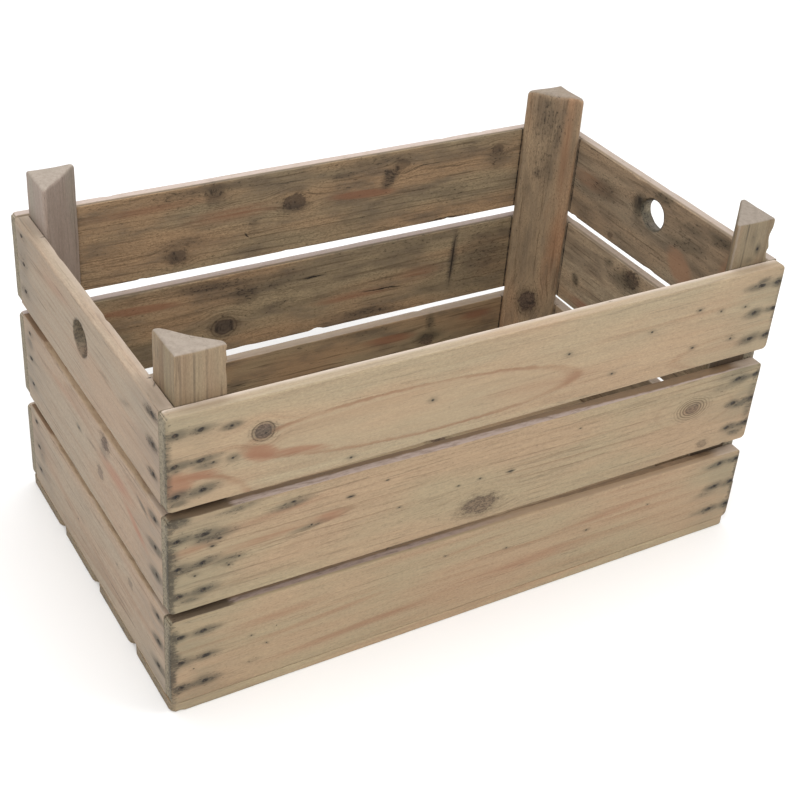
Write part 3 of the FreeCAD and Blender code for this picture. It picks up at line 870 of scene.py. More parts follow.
    def lay_open_rim(self):
        """The upper edge where it lies open: pale worn wood with a painted highlight on its upward faces, and
        a dirty inner arris on some boards.
        """
        rubbed_and_lit = self.fade(self.ragged, 0.25, 0.6, 0.6, 1.0)
        # Painted highlight on the faces that look upwards, over pale worn wood.
        self.lay(self.product(self.upper, rubbed_and_lit, self.fade(self.w, *self.look["rubbed_and_lit"])), "edge")
        if self.look["dirty_arris"]:
            inner_arris = self.fade(self.w, 8.5 * MM, 10.5 * MM)
            self.lay(self.product(self.upper, inner_arris, self.look["dirty_arris"]), "grime")

    def lay_gap_rim(self):
        """The upper edge inside a gap, painted with light and shade: a painted highlight on its lip outside,
        painted shade behind the lip and at the first end, where a post stands behind the gap, and painted
        light at the last end.
        """
        look, palette, ragged = self.look, self.palette, self.ragged
        deep = self.plus(self.w, ragged, 2 * MM)
        if look.get("lip_thins"):
            deep = self.math("ADD", deep, self.fade(self.u, 0.0, 0.2, 0.0, 4.5 * MM))
        # Painted highlight on the lip, and painted shade behind it.
        behind_lip = self.fade(deep, (look["lip_to"] - 1.2) * MM, (look["lip_to"] + 1.2) * MM)
        rim = self.mix(behind_lip, palette["lit_lip"], palette["gap"])
        # Patches of painted shade.
        rim = self.mix(self.fade(ragged, 0.4, 0.8, 0.0, 0.7), rim, palette["gap_shade"])
        if "lip_from" in look:
            lip_from = look["lip_from"]
            before_lip = self.fade(deep, (lip_from + 0.8) * MM, (lip_from - 0.8) * MM)
            rim = self.mix(before_lip, rim, palette["outer"])
        # Less painted shade over the middle of some boards.
        if "rim_clears" in look:
            clear = self.fade(self.u, *look["rim_clears"])
            clear = self.product(clear, self.fade(deep, 12.5 * MM, 11.5 * MM), 0.85)
            rim = self.mix(clear, rim, palette["outer_warm"])
        # Painted shade at the first end, where a post stands behind the gap, and painted light at the last
        # end.
        along = self.plus(self.u, ragged, -10 * MM)
        first, last = self.middle - self.half, self.middle + self.half
        rim = self.mix(self.fade(along, first + 54 * MM, first + 47 * MM), rim, palette["gap_shade"])
        rim = self.mix(self.fade(along, last - 42 * MM, last - 26 * MM, 0.0, 0.8), rim, palette["edge"])
        self.lay(self.product(self.upper, 0.92), rim)

    def lay_shade_behind_boards(self):
        """Painted shade on a post's outer faces below the top of the boards that stand against them."""
        outward = self.fade(self.vector("DOT_PRODUCT", self.normal, self.timber.inward), -0.2, -0.6)
        below = self.fade(self.plus(self.u, self.ragged, 4 * MM), 301 * MM, 296 * MM)
        self.lay(self.product(outward, below, self.look["shade_behind_boards"]), "gap_shade")

    def lay_end_grain(self):
        """The rough sawn ends, with the growth rings and dark pores."""
        palette, look = self.palette, self.look
        self.rough_end = self.noise(self.place, (look["end_scale"],) * 3, 4.0, 0.65, look["seed"] + 21)
        cut = self.mix(self.fade(self.rough_end, 0.35, 0.7), palette["end_grain"], palette["end_dark"])
        cut = self.mix(self.product(self.late, 0.35), cut, palette["end_dark"])
        self.lay(self.product(self.end_grain, 0.9), cut)
        pores = self.fade(self.texture("pores"), 0.6, 0.7)
        self.lay(self.product(self.end_grain, pores, look["end_pits"]), "soot")

    def lay_stains(self):
        """The stored stains, and the dark specks that are thick in them and thin elsewhere."""
        look = self.look
        soft = self.plus(self.product(self.speckle, 0.5), self.ragged, 0.9)
        stain = self.product(self.stained, self.math("ADD", soft, 0.3))
        self.lay(self.fade(stain, 0.04, 0.95, 0.0, 0.72), "stain")
        pepper = self.plus(self.texture("pepper", self.bent), self.stained, look["pepper"])
        end_strip = self.fade(self.from_middle, self.half - 10 * MM, self.half - 3 * MM)
        pepper = self.plus(pepper, end_strip, look["end_dirt"])
        specks = self.fade(pepper, look["pepper_from"], 0.78)
        self.dirt = self.product(specks, self.plus(0.45, self.inside, 0.3))
        holed = self.product(self.holed, self.math("ADD", soft, 0.35))
        self.darken(self.fade(holed, 0.25, 0.85, 0.0, 0.85))

    def add_pits(self):
        """Old nail holes and small dents in the outer face."""
        for u, v, size, *stretch in self.look["pits"]:
            length = size * (*stretch, PIT_STRETCH)[0] * 1.6
            self.darken(self.fade(self.oval(self.place, u, v, length, size * 1.5, depth=3.0), 1.0, 0.1))

    def add_cracks(self):
        """Open cracks, at the depth w that each one says."""
        for u, v, length, height, tilt, w, amount in self.look["cracks"]:
            shaken = self.shaken(self.product(self.ragged, 5 * MM))
            reach = self.oval(shaken, u, v + 2.5, length, height, tilt, w, depth=5.0)
            self.darken(self.product(self.fade(reach, 1.0, 0.25), amount))

    def add_grooves(self):
        """Dark lines along the whole of a post, at their places (w, v)."""
        for w, v, amount in self.look["grooves"]:
            shift = self.product(self.streak, 4 * MM)
            flat = self.vector("MULTIPLY", self.shaken(shift, shift), (0, 1, 1))
            away = self.vector("DISTANCE", flat, (0, (w + 2) * MM, (v + 2) * MM))
            broken = self.fade(self.blotch, 0.3, 0.6)
            self.darken(self.product(self.fade(away, 1.5 * MM, 0.2 * MM), amount, broken))

    def lay_post_lines(self):
        """The dirt on an inner face along the edge of the post that stands against it."""
        away = self.apart(self.from_middle, self.look["post_line"] * MM)
        away = self.plus(away, self.ragged, 2 * MM)
        dirty = self.fade(self.sooty, 0.3, 0.6, 0.6, 1.0)
        self.lay(self.product(self.fade(away, 2.1 * MM, 1.2 * MM), self.inside, dirty), "soot")

    def add_checks(self):
        """Fine drying cracks along the grain, in some places only."""
        crack = self.fade(self.apart(self.texture("checks", self.bent), 0.5), 0.006, 0.0)
        where = self.fade(self.texture("checked"), 0.58, 0.68)
        amount = self.plus(self.look["checks"], self.inside, self.look["inner_checks"])
        self.darken(self.product(crack, where, amount))

    def finish(self):
        """The fine relief, and a shader that carries the colour."""
        height = self.product(self.math("ADD", self.fibre, self.speckle), 0.6)
        height = self.plus(height, self.product(self.end_grain, self.rough_end), self.look["end_relief"])
        roughness = self.fade(self.fibre, 0.3, 0.7, 0.62, 0.82)
        self.surface(self.colour, roughness, height, WOOD_RELIEF, {"Specular IOR Level": 0.3})


def wood_material(timber, look, palette):
    """Weathered pine. look holds the piece's own grain and marks, palette its colours."""
    wood = Wood(timber, look, palette)
    wood.lay_ground()
    wood.lay_weather()
    wood.lay_arches()
    wood.lay_patches()
    wood.lay_knots()
    if look["rim"] == "open":
        wood.lay_open_rim()
    else:
        wood.lay_gap_rim()
    # Painted shade on a post behind the boards.
    if "shade_behind_boards" in look:
        wood.lay_shade_behind_boards()
    wood.lay_end_grain()
    wood.lay_stains()
    wood.add_pits()
    wood.add_cracks()
    wood.add_grooves()
    if "post_line" in look:
        wood.lay_post_lines()
    wood.add_checks()
    wood.lay(wood.dirt, "soot")
    wood.finish()
    return wood.material


def nail_material():
    """Old wire nails: dark, rusty and a little worn."""
    graph = Graph("rusty_nail")
    place = graph.node("ShaderNodeTexCoord").outputs["Object"]
    rust = graph.noise(place, (900, 900, 900), 4.0, 0.6)
    grimy = graph.noise(place, (330, 330, 330), 3.0, 0.7)
    colour = graph.mix(graph.fade(rust, 0.4, 0.65), paint(66, 58, 50), paint(88, 72, 58))
    colour = graph.mix(graph.fade(grimy, 0.42, 0.62), colour, paint(30, 27, 25))
    graph.surface(colour, graph.fade(rust, 0.3, 0.7, 0.5, 0.85), rust, NAIL_RELIEF, {"Metallic": 0.35})
    return graph.material


BOARD_PALETTE = {
    "outer": paint(157, 142, 116),
    "outer_warm": paint(163, 141, 114),
    "inner": paint(150, 134, 107),
    "inner_warm": paint(160, 133, 103),
    "grime": paint(106, 94, 80),
    "late": paint(130, 95, 71),
    "late_inner": paint(78, 63, 48),
    "weather": paint(126, 119, 98),
    "knot": paint(115, 95, 81),
    "knot_dark": paint(70, 57, 49),
    # The next four colours paint light into the upper edges: a highlight where they look upwards, a highlight
    # on the lip in a gap, and two colours of painted shade in the gap.
    "edge": paint(178, 162, 147),
    "lit_lip": paint(158, 143, 138),
    "gap": paint(130, 106, 82),
    "gap_shade": paint(104, 87, 69),
    "end_grain": paint(143, 133, 112),
    "end_dark": paint(104, 95, 79),
    "patch": paint(138, 97, 74),
    "stain": paint(72, 68, 57),
    "soot": paint(34, 30, 28),
}
END_PALETTE = {
    **BOARD_PALETTE,
    "outer": paint(159, 144, 125),
    "outer_warm": paint(163, 142, 121),
    "inner": paint(150, 136, 115),
    "inner_warm": paint(158, 136, 111),
    "weather": paint(123, 116, 106),
    # Painted light in the gaps: a highlight on the lip and two colours of painted shade.
    "lit_lip": paint(168, 146, 120),
    "gap": paint(150, 117, 86),
    "gap_shade": paint(128, 102, 78),
    "patch": paint(157, 112, 90),
}
POST_PALETTE = {
    **BOARD_PALETTE,
    "outer": paint(137, 123, 99),
    "outer_warm": paint(138, 118, 95),
    "inner": paint(157, 136, 110),
    "inner_warm": paint(167, 131, 101),
    "late": paint(102, 80, 59),
    # The second colour below is painted shade for the faces behind the boards.
    "edge": paint(152, 138, 123),
    "gap_shade": paint(78, 65, 53),
    "end_grain": paint(156, 145, 134),
    "end_dark": paint(142, 131, 120),
}
SLAT_PALETTE = {
    **BOARD_PALETTE,
    "outer": paint(160, 144, 116),
    "outer_warm": paint(164, 140, 112),
    "end_grain": paint(136, 121, 98),
    "end_dark": paint(98, 86, 70),
}


# The key that starts with tone scales a piece's colours; above 1 it is painted light on pieces in the crate's
# shade.
# What each piece shows. Marks are in millimetres of its own frame, and amounts go from 0 to 1.
#
# pith (w, v), slope, gap and sway set the growth rings: where the pith lies, how much deeper it gets along
# the piece, how far apart the rings are and how far they wander. line_from is where in a ring the latewood
# starts. contrast, hair and checks say how much latewood, hairlines and drying cracks show, and grit how much
# the fine specks do on the inner face. pepper is the dirt in stains, pepper_from the noise from which it
# shows, and smear what is left of the nail stains where u < 0.
# The key that starts with rubbed gives the pale worn upper arris and its painted highlight as a fade over w,
# in metres.
# With a rim in a gap, a painted highlight on the lip ends at lip_to, with painted shade behind it.
# inside says how far all of a piece is painted as inner wood. Without it, that goes by the depth.
#
# knots: (u, v, radius, darkness, length over height, and on a ringed one how many radii its halo reaches)
# arches: (u, v, length, height, tilt, amount)        pits: (u, v, size, length over height)
# stains and patches, and those of the inner face: (u, v, length, height, amount, tilt, w, depth)
# cracks: (u, v, length, height, tilt, w, amount)     grooves: (w, v, amount)
# bites: (u, w, v, length, height, depth)

MARKS = ("knots", "arches", "pits", "cracks", "grooves", "bites")
SOFT_MARKS = ("stains", "inner_stains", "patches", "inner_patches")
USUAL = {
    "contrast": 0.4, "inner_contrast": 0.25, "sway": 16, "line_from": 0.45, "hair": 0.25, "tone_and_light": 1.0,
    "grit": OUTER_GRIT, "pepper": 0.15, "pepper_from": 0.66, "smear": 1, "checks": 0.25, "inner_checks": 0.5,
    "end_weather": 0.5, "end_pits": 0.7, "end_scale": 500, "end_relief": 0.9, "end_dirt": 0.0,
    "rim": "open", "rubbed_and_lit": (0.0, 0.001, 0.8, 0.8), "dirty_arris": 0.0, "lip_to": 6.7,
    "inner_face": 13, "low_arris": 1, "crown": 4, "chips": 9, **dict.fromkeys(MARKS + SOFT_MARKS, ()),
}
BACK = {"post_line": 244, "contrast": 0.35, "inner_contrast": 0.2, "line_from": 0.6}
LEFT = {"post_line": 122, "contrast": 0.3, "hair": 0.5, "smear": 0.6}
RIGHT = {"post_line": 122, "contrast": 0.2, "inner_contrast": 0.1}
# Grimy boards, whose painted highlight on the upper edge stops short of the dirty inner arris.
GRIMY = {"pepper_from": 0.58, "grit": 1.7, "dirty_arris": 0.7, "rubbed_and_lit": (0.008, 0.0105, 1.0, 0.0)}
# Posts get painted shade where the boards stand before them.
POST = {"end_weather": 0, "end_pits": 0.1, "end_scale": 240, "end_relief": 0.35, "shade_behind_boards": 0.75}

LOOKS = {
    "front_board_top": {
        "seed": 1, "pith": (34, 243), "slope": -0.02, "gap": 13, "contrast": 0.28, "sway": 10,
        "rubbed_and_lit": (0.006, 0.0125, 0.15, 1), "end_weather": 0.3, "end_dirt": 0.06,
        # A brighter painted highlight on the upper edge.
        "palette": {"edge": paint(196, 182, 168)},
        "knots": [(-221, 265, 7.6, 1, 1, 1.9)],
        "arches": [(-80, 246, 318, 48, -2.5, 0.72), (300, 222, 238, 36, 0, 0.3),
            (-290, 205, 120, 72, 0, 0.7)],
        "pits": [(-219, 263, 1.6, 1.2), (-247, 278, 2.6), (-246, 248, 2), (-262, 249, 1.8), (-143, 217, 2),
            (-70, 252, 2.2), (64, 262, 2.2), (115, 229, 1.9), (153, 262, 2.1), (205, 272, 2.2, 1.8),
            (231, 265, 1.9), (260, 263, 1.9), (205, 233, 2.1, 1.7), (250, 232, 2.2)],
        "stains": [(-247, 278, 30, 11, 1, 4), (-293, 281, 24, 12, 0.6), (-246, 248, 20, 13, 0.8),
            (-293, 250, 24, 11, 0.7), (-268, 248, 40, 12, 0.8), (-291, 219, 28, 10, 1),
            (272, 252, 38, 15, 0.7), (276, 286, 28, 10, 0.9, 12), (-221, 265, 40, 22, 0.5),
            (-299, 250, 12, 130, 0.7), (299, 250, 12, 130, 0.5)],
        "patches": [(-222, 245, 40, 20, 1, -12), (-190, 239, 76, 10, 0.8, -9), (-294, 236, 40, 30, 1),
            (-274, 240, 50, 11, 0.8, -4), (40, 238, 300, 24, 0.25), (250, 226, 120, 24, 0.25)],
    },
    "front_board_middle": {
        "seed": 2, "pith": (46, 96), "slope": 0.012, "gap": 7, "contrast": 0.56, "sway": 12, "rim": "gap",
        "hair": 0.35, "line_from": 0.6, "pepper": 0.2, "end_dirt": 0.11, "lip_thins": True, "lip_to": 8,
        # Its colours for the gap and the lip are painted shade and a painted highlight.
        "palette": {"knot": paint(122, 104, 84), "knot_dark": paint(84, 71, 58), "gap": paint(122, 99, 76),
                    "late": paint(122, 98, 76), "lit_lip": paint(174, 157, 149), "outer": paint(154, 138, 111),
                    "outer_warm": paint(160, 137, 110)},
        "knots": [(-10, 126, 8.5, 1, 1.7), (221, 162, 6, 0.8, 1.4, 3.4), (244, 116, 4, 0.5, 1.2)],
        "arches": [(-255, 159, 236, 17, 3, 0.7), (225, 160, 96, 40, -6, 0.25)],
        "pits": [(-249, 144, 1.8), (-257, 174, 2.4, 2), (-263, 168, 2, 2), (-240, 150, 1.8),
            (-193, 189, 2.4, 2), (-176, 160, 1.8), (-141, 177, 1.9, 4), (19, 153, 1.9, 4.5),
            (-278, 143, 1.8), (-35, 154, 1.3, 2), (-13, 155, 1.4, 2), (-93, 150, 1.2, 2),
            (-107, 183, 1.1, 3), (90, 178, 1.2, 2)],
        "stains": [(-193, 188, 64, 14, 0.8, 6), (-176, 159, 60, 9, 0.7, 6), (-262, 178, 60, 18, 0.9, 3),
            (-292, 200, 34, 16, 1), (-285, 152, 46, 14, 0.9), (-250, 150, 56, 14, 0.7),
            (-282, 120, 38, 12, 0.7), (-240, 198, 76, 12, 0.6, 4), (-296, 160, 18, 80, 0.6),
            (-299, 150, 13, 130, 1), (276, 180, 58, 13, 0.9, 8), (286, 152, 50, 13, 0.9, 8),
            (268, 190, 90, 16, 0.5, 6), (284, 118, 28, 12, 0.9), (256, 176, 60, 18, 0.5, 6),
            (294, 150, 18, 80, 0.6)],
        "patches": [(-160, 163, 50, 15, 0.6, 2), (-215, 161, 140, 14, 0.4, 4),
            (-282, 170, 76, 14, 0.45, 6), (-200, 183, 140, 11, 0.35, 5), (221, 161, 30, 14, 0.6)],
    },
    "front_board_bottom": {
        "seed": 3, "low_arris": 0.4, "pith": (52, 20), "slope": 0.015, "gap": 8, "contrast": 0.48,
        "sway": 14, "rim": "gap", "pepper": 0.2, "end_dirt": 0.11, "lip_thins": True,
        # Less painted shade in the gap over the middle, and painted shade and highlight colours of its own.
        "rim_clears": (-0.06, 0.06), "lip_from": 4.5, "lip_to": 9.5,
        "palette": {"gap_shade": paint(92, 78, 64), "lit_lip": paint(158, 140, 132),
                    "outer": paint(154, 138, 111), "outer_warm": paint(160, 137, 110)},
        "pits": [(118, 53, 1.6), (26, 64, 1.4), (-228, 60, 1.3), (-205, 62, 1.1), (-40, 78, 1.1),
            (190, 60, 1.2), (-214, 46, 1.2), (-280, 44, 1.3)],
        "stains": [(-268, 83, 38, 13, 0.7), (-271, 56, 38, 11, 0.6), (-270, 31, 44, 14, 0.6),
            (-226, 31, 34, 10, 0.4), (-296, 57, 18, 30, 1), (-297, 84, 18, 24, 0.9),
            (-294, 24, 28, 14, 0.7), (270, 82, 54, 11, 0.6), (262, 48, 48, 10, 0.6),
            (264, 26, 48, 10, 0.6), (-299, 55, 13, 130, 0.9), (299, 55, 12, 130, 0.6)],
        "patches": [(60, 40, 280, 24, 0.4), (-200, 74, 150, 18, 0.4, 3), (-120, 30, 260, 14, 0.45, 3),
            (-160, 56, 220, 10, 0.4, 4), (150, 66, 260, 14, 0.4, 3), (-20, 78, 160, 10, 0.3, 3)],
    },
    "back_board_top": {
        **BACK, **GRIMY, "seed": 4, "pith": (-14, 196), "slope": 0.01, "gap": 5, "contrast": 0.4,
        "line_from": 0.72, "sway": 8, "inner_checks": 0.8,
        # The edge colour is a brighter painted highlight.
        "palette": {"edge": paint(188, 172, 163), "knot": paint(78, 66, 57), "stain": paint(74, 65, 57)},
        "knots": [(107, 290, 7, 0.4, 1.1), (22, 263, 8, 0.75, 1.4), (-99, 281, 6, 0.5, 1.2),
            (-215, 280, 5, 0.6, 1.2), (148, 227, 7, 0.5, 1.2)],
        "cracks": [(-157, 211, 70, 3, 0, 13, 0.9), (-160, 270, 90, 2.5, 2, 13, 0.5),
            (74, 236, 10, 3, 50, 13, 0.9), (30, 285, 70, 2, 1, 13, 0.6)],
        "inner_stains": [(-85, 268, 22, 38, 1, 40), (-82, 275, 14, 14, 1), (107, 282, 40, 30, 0.6),
            (66, 245, 20, 36, 0.45), (130, 292, 130, 14, 0.6), (140, 240, 90, 24, 0.5),
            (22, 256, 50, 20, 0.7), (-60, 290, 160, 18, 0.5), (148, 227, 40, 30, 0.6),
            (150, 290, 120, 30, 0.4), (-215, 270, 60, 40, 0.5), (-30, 281, 60, 14, 0.6),
            (-160, 240, 90, 30, 0.4)],
        "inner_patches": [(-53, 257, 100, 12, 1, 4), (90, 262, 150, 26, 0.5), (170, 282, 200, 16, 0.4)],
    },
    "back_board_middle": {
        **BACK, **GRIMY, "seed": 5, "pith": (-30, 130), "slope": -0.02, "gap": 7,
        # The edge colour is a painted highlight.
        "palette": {"edge": paint(178, 163, 157), "knot": paint(78, 66, 57), "stain": paint(74, 65, 57)},
        "knots": [(98, 137, 10, 0.85, 1.1, 2)],
        "cracks": [(-2, 173, 38, 4, 0, 13, 1), (-85, 141, 72, 3, 3, 13, 1),
            (-171, 158, 3.5, 84, 3, 13, 0.9), (-20, 108, 10, 5, 0, 13, 0.9)],
        "bites": [(-8, 12, 107, 9, 6, 2.5)],
        "inner_stains": [(74, 172, 56, 40, 0.8), (-171, 160, 13, 100, 1, 3), (-206, 155, 110, 110, 0.55),
            (110, 186, 150, 18, 0.8, 4), (-70, 116, 140, 16, 0.8, 4), (40, 150, 70, 14, 0.6, -6),
            (98, 137, 60, 40, 0.6), (60, 176, 200, 40, 0.5), (-120, 190, 160, 30, 0.4)],
        "inner_patches": [(186, 177, 110, 12, 1, 3), (-46, 140, 130, 16, 0.6), (-130, 150, 90, 28, 0.4)],
    },
    "back_board_bottom": {
        **BACK, "seed": 6, "pith": (-36, 60), "slope": 0.02, "gap": 7,
        "knots": [(-147, 62, 7, 0.9, 1.1), (60, 40, 6, 0.8, 1.2)],
        "inner_stains": [(-150, 66, 66, 20, 0.8), (-150, 84, 18, 36, 0.8), (-60, 90, 160, 14, 0.6)],
        "inner_patches": [(-100, 74, 90, 14, 0.8, 3), (-210, 80, 60, 16, 0.7)],
    },
    "left_end_board_top": {
        **LEFT, "seed": 7, "pepper": 0.3, "pith": (40, 180), "slope": 0.1, "gap": 6, "sway": 8,
        "rubbed_and_lit": (0.005, 0.0125, 0.1, 0.8), "hand_hole": (-3, 264.5), "hole_dirt": 0.7,
        "palette": {"stain": paint(84, 72, 57)},
        "stains": [(-148, 262, 60, 50, 0.4), (96, 262, 60, 12, 0.4, 20)],
        "patches": [(-60, 280, 120, 16, 0.3)],
    },
    "left_end_board_middle": {
        **LEFT, "seed": 8, "pith": (30, 190), "slope": -0.05, "gap": 7, "rim": "gap",
        "knots": [(45, 190, 6, 0.9, 1.15), (29, 150, 5, 0.5, 1.15)],
        "pits": [(-21, 164, 2.4)],
        "stains": [(128, 182, 44, 8, 0.8, -15), (-150, 176, 30, 22, 0.6), (40, 178, 34, 18, 0.5)],
        "patches": [(70, 170, 110, 26, 0.5), (-60, 180, 120, 16, 0.3), (110, 150, 80, 14, 0.6, -20)],
    },
    "left_end_board_bottom": {
        **LEFT, "seed": 9, "pith": (46, 40), "slope": 0.05, "gap": 8, "rim": "gap",
        "knots": [(91, 75, 4, 0.4, 1.15)],
        "pits": [(60, 72, 1.4), (-40, 50, 1.3)],
        "stains": [(-140, 60, 40, 40, 0.5)],
    },
    "right_end_board_top": {
        **RIGHT, **GRIMY, "seed": 10, "pith": (-28, 262), "slope": -0.08, "gap": 8,
        "hand_hole": (-7.5, 270), "hole_dirt": 1, "torn_rim": (0, 2.6), "checks": 0.3, "tone_and_light": 1.04,
        "pepper": 0.14, "dirty_arris": 0.6, "rubbed_and_lit": (0.008, 0.0105, 0.9, 0),
        # The edge colour is a greyer painted highlight.
        "palette": {"edge": paint(172, 159, 149), "knot": paint(74, 60, 52), "patch": paint(160, 124, 98)},
        "knots": [(15, 273, 7, 0.6, 1.1), (51, 220, 3, 0.5, 1.1)],
        "inner_stains": [(13, 270, 30, 42, 1, 10), (-20, 293, 44, 18, 0.8, -10),
            (-109, 288, 64, 22, 0.7, -10), (70, 262, 80, 40, 0.6), (-60, 262, 90, 26, 0.6, -10),
            (-60, 280, 110, 24, 0.5, -8)],
        "inner_patches": [(-58, 236, 60, 38, 1, 40), (-128, 258, 44, 60, 0.9), (90, 262, 120, 30, 0.5)],
    },
    "right_end_board_middle": {
        **RIGHT, **GRIMY, "seed": 11, "pepper": 0.14, "pith": (-30, 150), "slope": 0.05, "gap": 8,
        # Brighter inner colours: painted light on a board in the crate's shade.
        "tone_and_light": 1.35,
        "knots": [(7, 190, 9, 0.9, 1.15)],
        "inner_stains": [(95, 144, 22, 18, 1, 30), (16, 182, 80, 40, 0.7, -10), (45, 190, 26, 18, 0.7, -20)],
        "inner_patches": [(70, 120, 90, 20, 0.6)],
    },
    "right_end_board_bottom": {
        # Brighter inner colours: painted light on a board in the crate's shade.
        **RIGHT, "seed": 12, "pith": (-40, 50), "slope": 0.03, "gap": 6, "contrast": 0.3, "tone_and_light": 1.2,
        "inner_contrast": 0.25,
        "knots": [(-60, 60, 7, 0.8, 1.15)],
    },
    "front_left_post": {
        **POST, "seed": 21, "pith": (52, 6), "slope": 0.006, "gap": 9, "contrast": 0.6, "inside": 0.1,
        "checks": 0.8, "hair": 0.4,
        "grooves": [(3.5, -3.5, 0.4), (11.3, -11.3, 0.4), (18.4, -18.4, 0.4), (6, 6, 0.2), (20, 20, 0.2)],
        "bites": [(320, 33, -30, 9, 8, 1.2), (334, 33, -30, 6, 8, 1)],
        "stains": [(326, 22, 34, 6, 1, 0, 9, 22)],
    },
    "front_right_post": {
        **POST, "seed": 22, "pith": (70, -8), "slope": 0.01, "gap": 8, "contrast": 0.5, "inside": 0.1,
        "checks": 0.9, "tone_and_light": 0.86,
        "grooves": [(22, 22, 0.6), (14, 14, 0.25)],
        "cracks": [(313, 10, 5, 5, 0, 10, 0.95)],
        "bites": [(322, 4, 1, 12, 9, 2.2), (306, 3, 0, 7, 8, 1.6)],
        "stains": [(313, 10, 20, 11, 0.8, 0, 10), (325, 16, 30, 12, 0.5, 0, 14),
            (303, 16, 10, 30, 0.5, 0, 16)],
    },
    "back_right_post": {
        **POST, "seed": 23, "pith": (120, 30), "slope": 0.02, "gap": 12, "contrast": 0.2,
        "inner_contrast": 0.1, "inside": 0.9, "checks": 0.4, "crown": 6, "tone_and_light": 1.1, "pepper": 0.2,
        # Brighter colours: painted light on a post in the crate's shade.
        "grit": 1.7, "pepper_from": 0.58, "inner_face": 30,
        "palette": {"end_grain": paint(136, 124, 110), "patch": paint(150, 115, 88),
                    "stain": paint(74, 65, 57)},
        "knots": [(97, -2, 9, 1, 1.2)],
        "inner_stains": [(331, -7, 16, 13, 1), (312, -6, 80, 46, 0.8), (253, -9, 26, 20, 1),
            (300, 8, 90, 18, 0.8, 4), (262, -2, 110, 40, 0.6), (97, -2, 60, 40, 0.8)],
        "inner_patches": [(275, 17, 150, 20, 0.8), (180, 20, 120, 18, 0.6), (215, 8, 60, 12, 0.4, 10)],
    },
    "back_left_post": {
        **POST, "seed": 24, "pith": (64, -14), "slope": 0.012, "gap": 6, "contrast": 0.35, "inside": 0,
        # Brighter colours, and paler outer ones below: painted light on the face that looks into the crate.
        "tone_and_light": 1.1,
        "palette": {"outer": paint(147, 138, 125), "outer_warm": paint(152, 137, 126),
                    "late": paint(118, 98, 84)},
    },
}
for number in range(4):
    LOOKS[f"bottom_slat_{number + 1}"] = {
        "seed": 31 + number, "pith": (-40 + 9 * number, 135 - 90 * number), "slope": 0.02, "gap": 6,
        "edge": (0, 0, 0), "inside": 0.0, "chips": 5,
        "knots": [(-160 + 130 * number, 125 - 90 * number, 7, 1, 1.2)],
    }
LOOKS = {name: {**USUAL, **look} for name, look in LOOKS.items()}


def dress(timber, piece, palette, nails):
    """Paints a piece, ties it to the crate and lets it stand for its CAD node."""
    piece.data.materials.clear()
    piece.data.materials.append(wood_material(timber, LOOKS[timber.node], palette))
    store_marks(timber, piece, LOOKS[timber.node], nails)
    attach(piece, "root")
    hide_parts(timber.node)


def make_boards():
    """The long boards and the end boards, seen from outside with v upwards."""
    sides = {
        "front_board": ((1, 0, 0), (0, 1, 0)),
        "back_board": ((-1, 0, 0), (0, -1, 0)),
        "left_end_board": ((0, -1, 0), (1, 0, 0)),
        "right_end_board": ((0, 1, 0), (-1, 0, 0)),
    }
    for side, (along, inward) in sides.items():
        is_end = "end" in side
        for course in COURSES:
            timber = Timber(f"{side}_{course}", along, inward)
            look = LOOKS[timber.node]
            end_arris = CUT_END_ARRIS if is_end else BOARD_ARRIS
            piece = shape_plank(timber, look, BOARD_ARRIS, 0 if is_end else BOARD_CORNER, end_arris)
            if "hand_hole" in look:
                drill_hand_hole(timber, piece, look)
            palette = END_PALETTE if is_end else BOARD_PALETTE
            dress(timber, piece, palette, nails_on(timber))


def make_slats():
    """The floor slats, whose outer face is the lower one."""
    for number in range(4):
        timber = Timber(f"bottom_slat_{number + 1}", (1, 0, 0), (0, 0, 1))
        piece = shape_plank(timber, LOOKS[timber.node], SLAT_ARRIS, SLAT_CORNER, SLAT_ARRIS)
        dress(timber, piece, SLAT_PALETTE, nails_on(timber))


def make_posts():
    """The corner posts, each measured from its right-angled corner."""
    for side, y_sign in (("front", -1), ("back", 1)):
        for end, x_sign in (("left", -1), ("right", 1)):
            node = f"{side}_{end}_post"
            low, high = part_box(node)
            corner = ((low, high)[x_sign > 0].x, (low, high)[y_sign > 0].y, 0)
            timber = Timber(node, (0, 0, 1), (-x_sign, -y_sign, 0), corner)
            piece = shape_post(timber, LOOKS[node])
            dress(timber, piece, POST_PALETTE, [])


def make_nails():
    """The CAD nails stay as they are, with a rusty finish."""
    rusty = nail_material()
    for name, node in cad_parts.items():
        if name.endswith("_nails"):
            for holder in node.material_slots:
                holder.material = rusty


# The studio


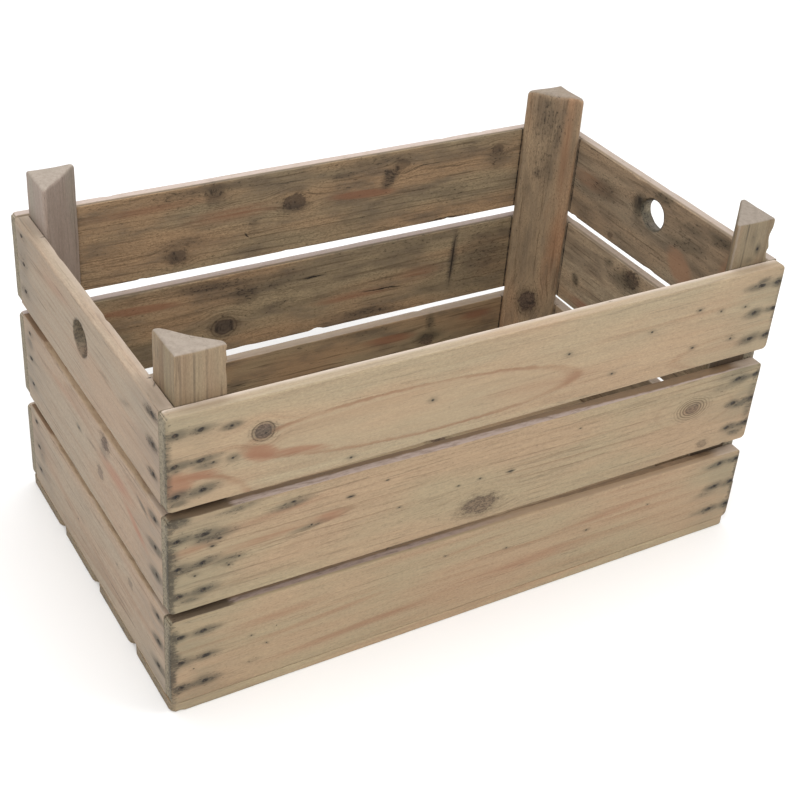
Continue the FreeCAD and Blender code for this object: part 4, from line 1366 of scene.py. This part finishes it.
def make_camera():
    """The camera stands in front of the crate's left corner, above it, and leans a little."""
    yaw, pitch, roll = CAMERA_YAW, CAMERA_PITCH, CAMERA_ROLL
    ahead = Vector((math.sin(yaw) * math.cos(pitch), math.cos(yaw) * math.cos(pitch), math.sin(pitch)))
    level = Vector((math.cos(yaw), -math.sin(yaw), 0))
    above = level.cross(ahead)
    right = math.cos(roll) * level + math.sin(roll) * above
    up = math.cos(roll) * above - math.sin(roll) * level
    camera = bpy.data.objects.new("camera", bpy.data.cameras.new("camera"))
    camera.data.lens = CAMERA_LENS
    camera.data.sensor_width = 36
    turned = Matrix((right, up, -ahead)).transposed().to_4x4()
    camera.matrix_world = Matrix.Translation(CAMERA_PLACE) @ turned
    bpy.context.scene.collection.objects.link(camera)
    bpy.context.scene.camera = camera


def make_lamp(name, place, size, power, colour):
    """A square soft box that shines at the middle of the crate."""
    data = bpy.data.lights.new(name, "AREA")
    data.size = size
    data.energy = power
    data.color = colour
    lamp = bpy.data.objects.new(name, data)
    lamp.location = place
    aim = Vector((0, 0, 0.15)) - Vector(place)
    lamp.rotation_euler = aim.to_track_quat("-Z", "Y").to_euler()
    bpy.context.scene.collection.objects.link(lamp)


def make_floor():
    """A pale, matt floor under the crate, which is no part of it."""
    mesh = bpy.data.meshes.new("floor")
    drop = CAD_BOX[0].z - FLOOR_DROP
    corners = [(x * FLOOR_REACH, y * FLOOR_REACH, drop) for x, y in ((-1, -1), (1, -1), (1, 1), (-1, 1))]
    mesh.from_pydata(corners, [], [(0, 1, 2, 3)])
    floor = bpy.data.objects.new("floor", mesh)
    bpy.context.scene.collection.objects.link(floor)
    material = bpy.data.materials.new("pale_floor")
    material.use_nodes = True
    shader = material.node_tree.nodes["Principled BSDF"]
    shader.inputs["Base Color"].default_value = (0.93, 0.93, 0.93, 1)
    shader.inputs["Roughness"].default_value = 0.9
    shader.inputs["Specular IOR Level"].default_value = 0.1
    mesh.materials.append(material)


def make_studio():
    """The floor under white light from all round, with soft boxes at both sides and above."""
    make_floor()
    world = bpy.data.worlds.new("studio")
    world.use_nodes = True
    background = world.node_tree.nodes["Background"]
    background.inputs["Color"].default_value = (1, 1, 1, 1)
    background.inputs["Strength"].default_value = WORLD_LIGHT
    bpy.context.scene.world = world
    make_lamp("left key", (-1.05, -1.45, 2.0), 1.1, 26, (1.0, 0.98, 0.96))
    make_lamp("right key", (1.5, -1.3, 2.1), 1.1, 18, (1.0, 0.98, 0.96))
    make_lamp("top", (0.0, 0.7, 3.0), 2.0, 36, (1.0, 1.0, 1.0))
    bpy.context.scene.view_settings.view_transform = "Standard"


make_boards()
make_slats()
make_posts()
make_nails()
make_camera()
make_studio()
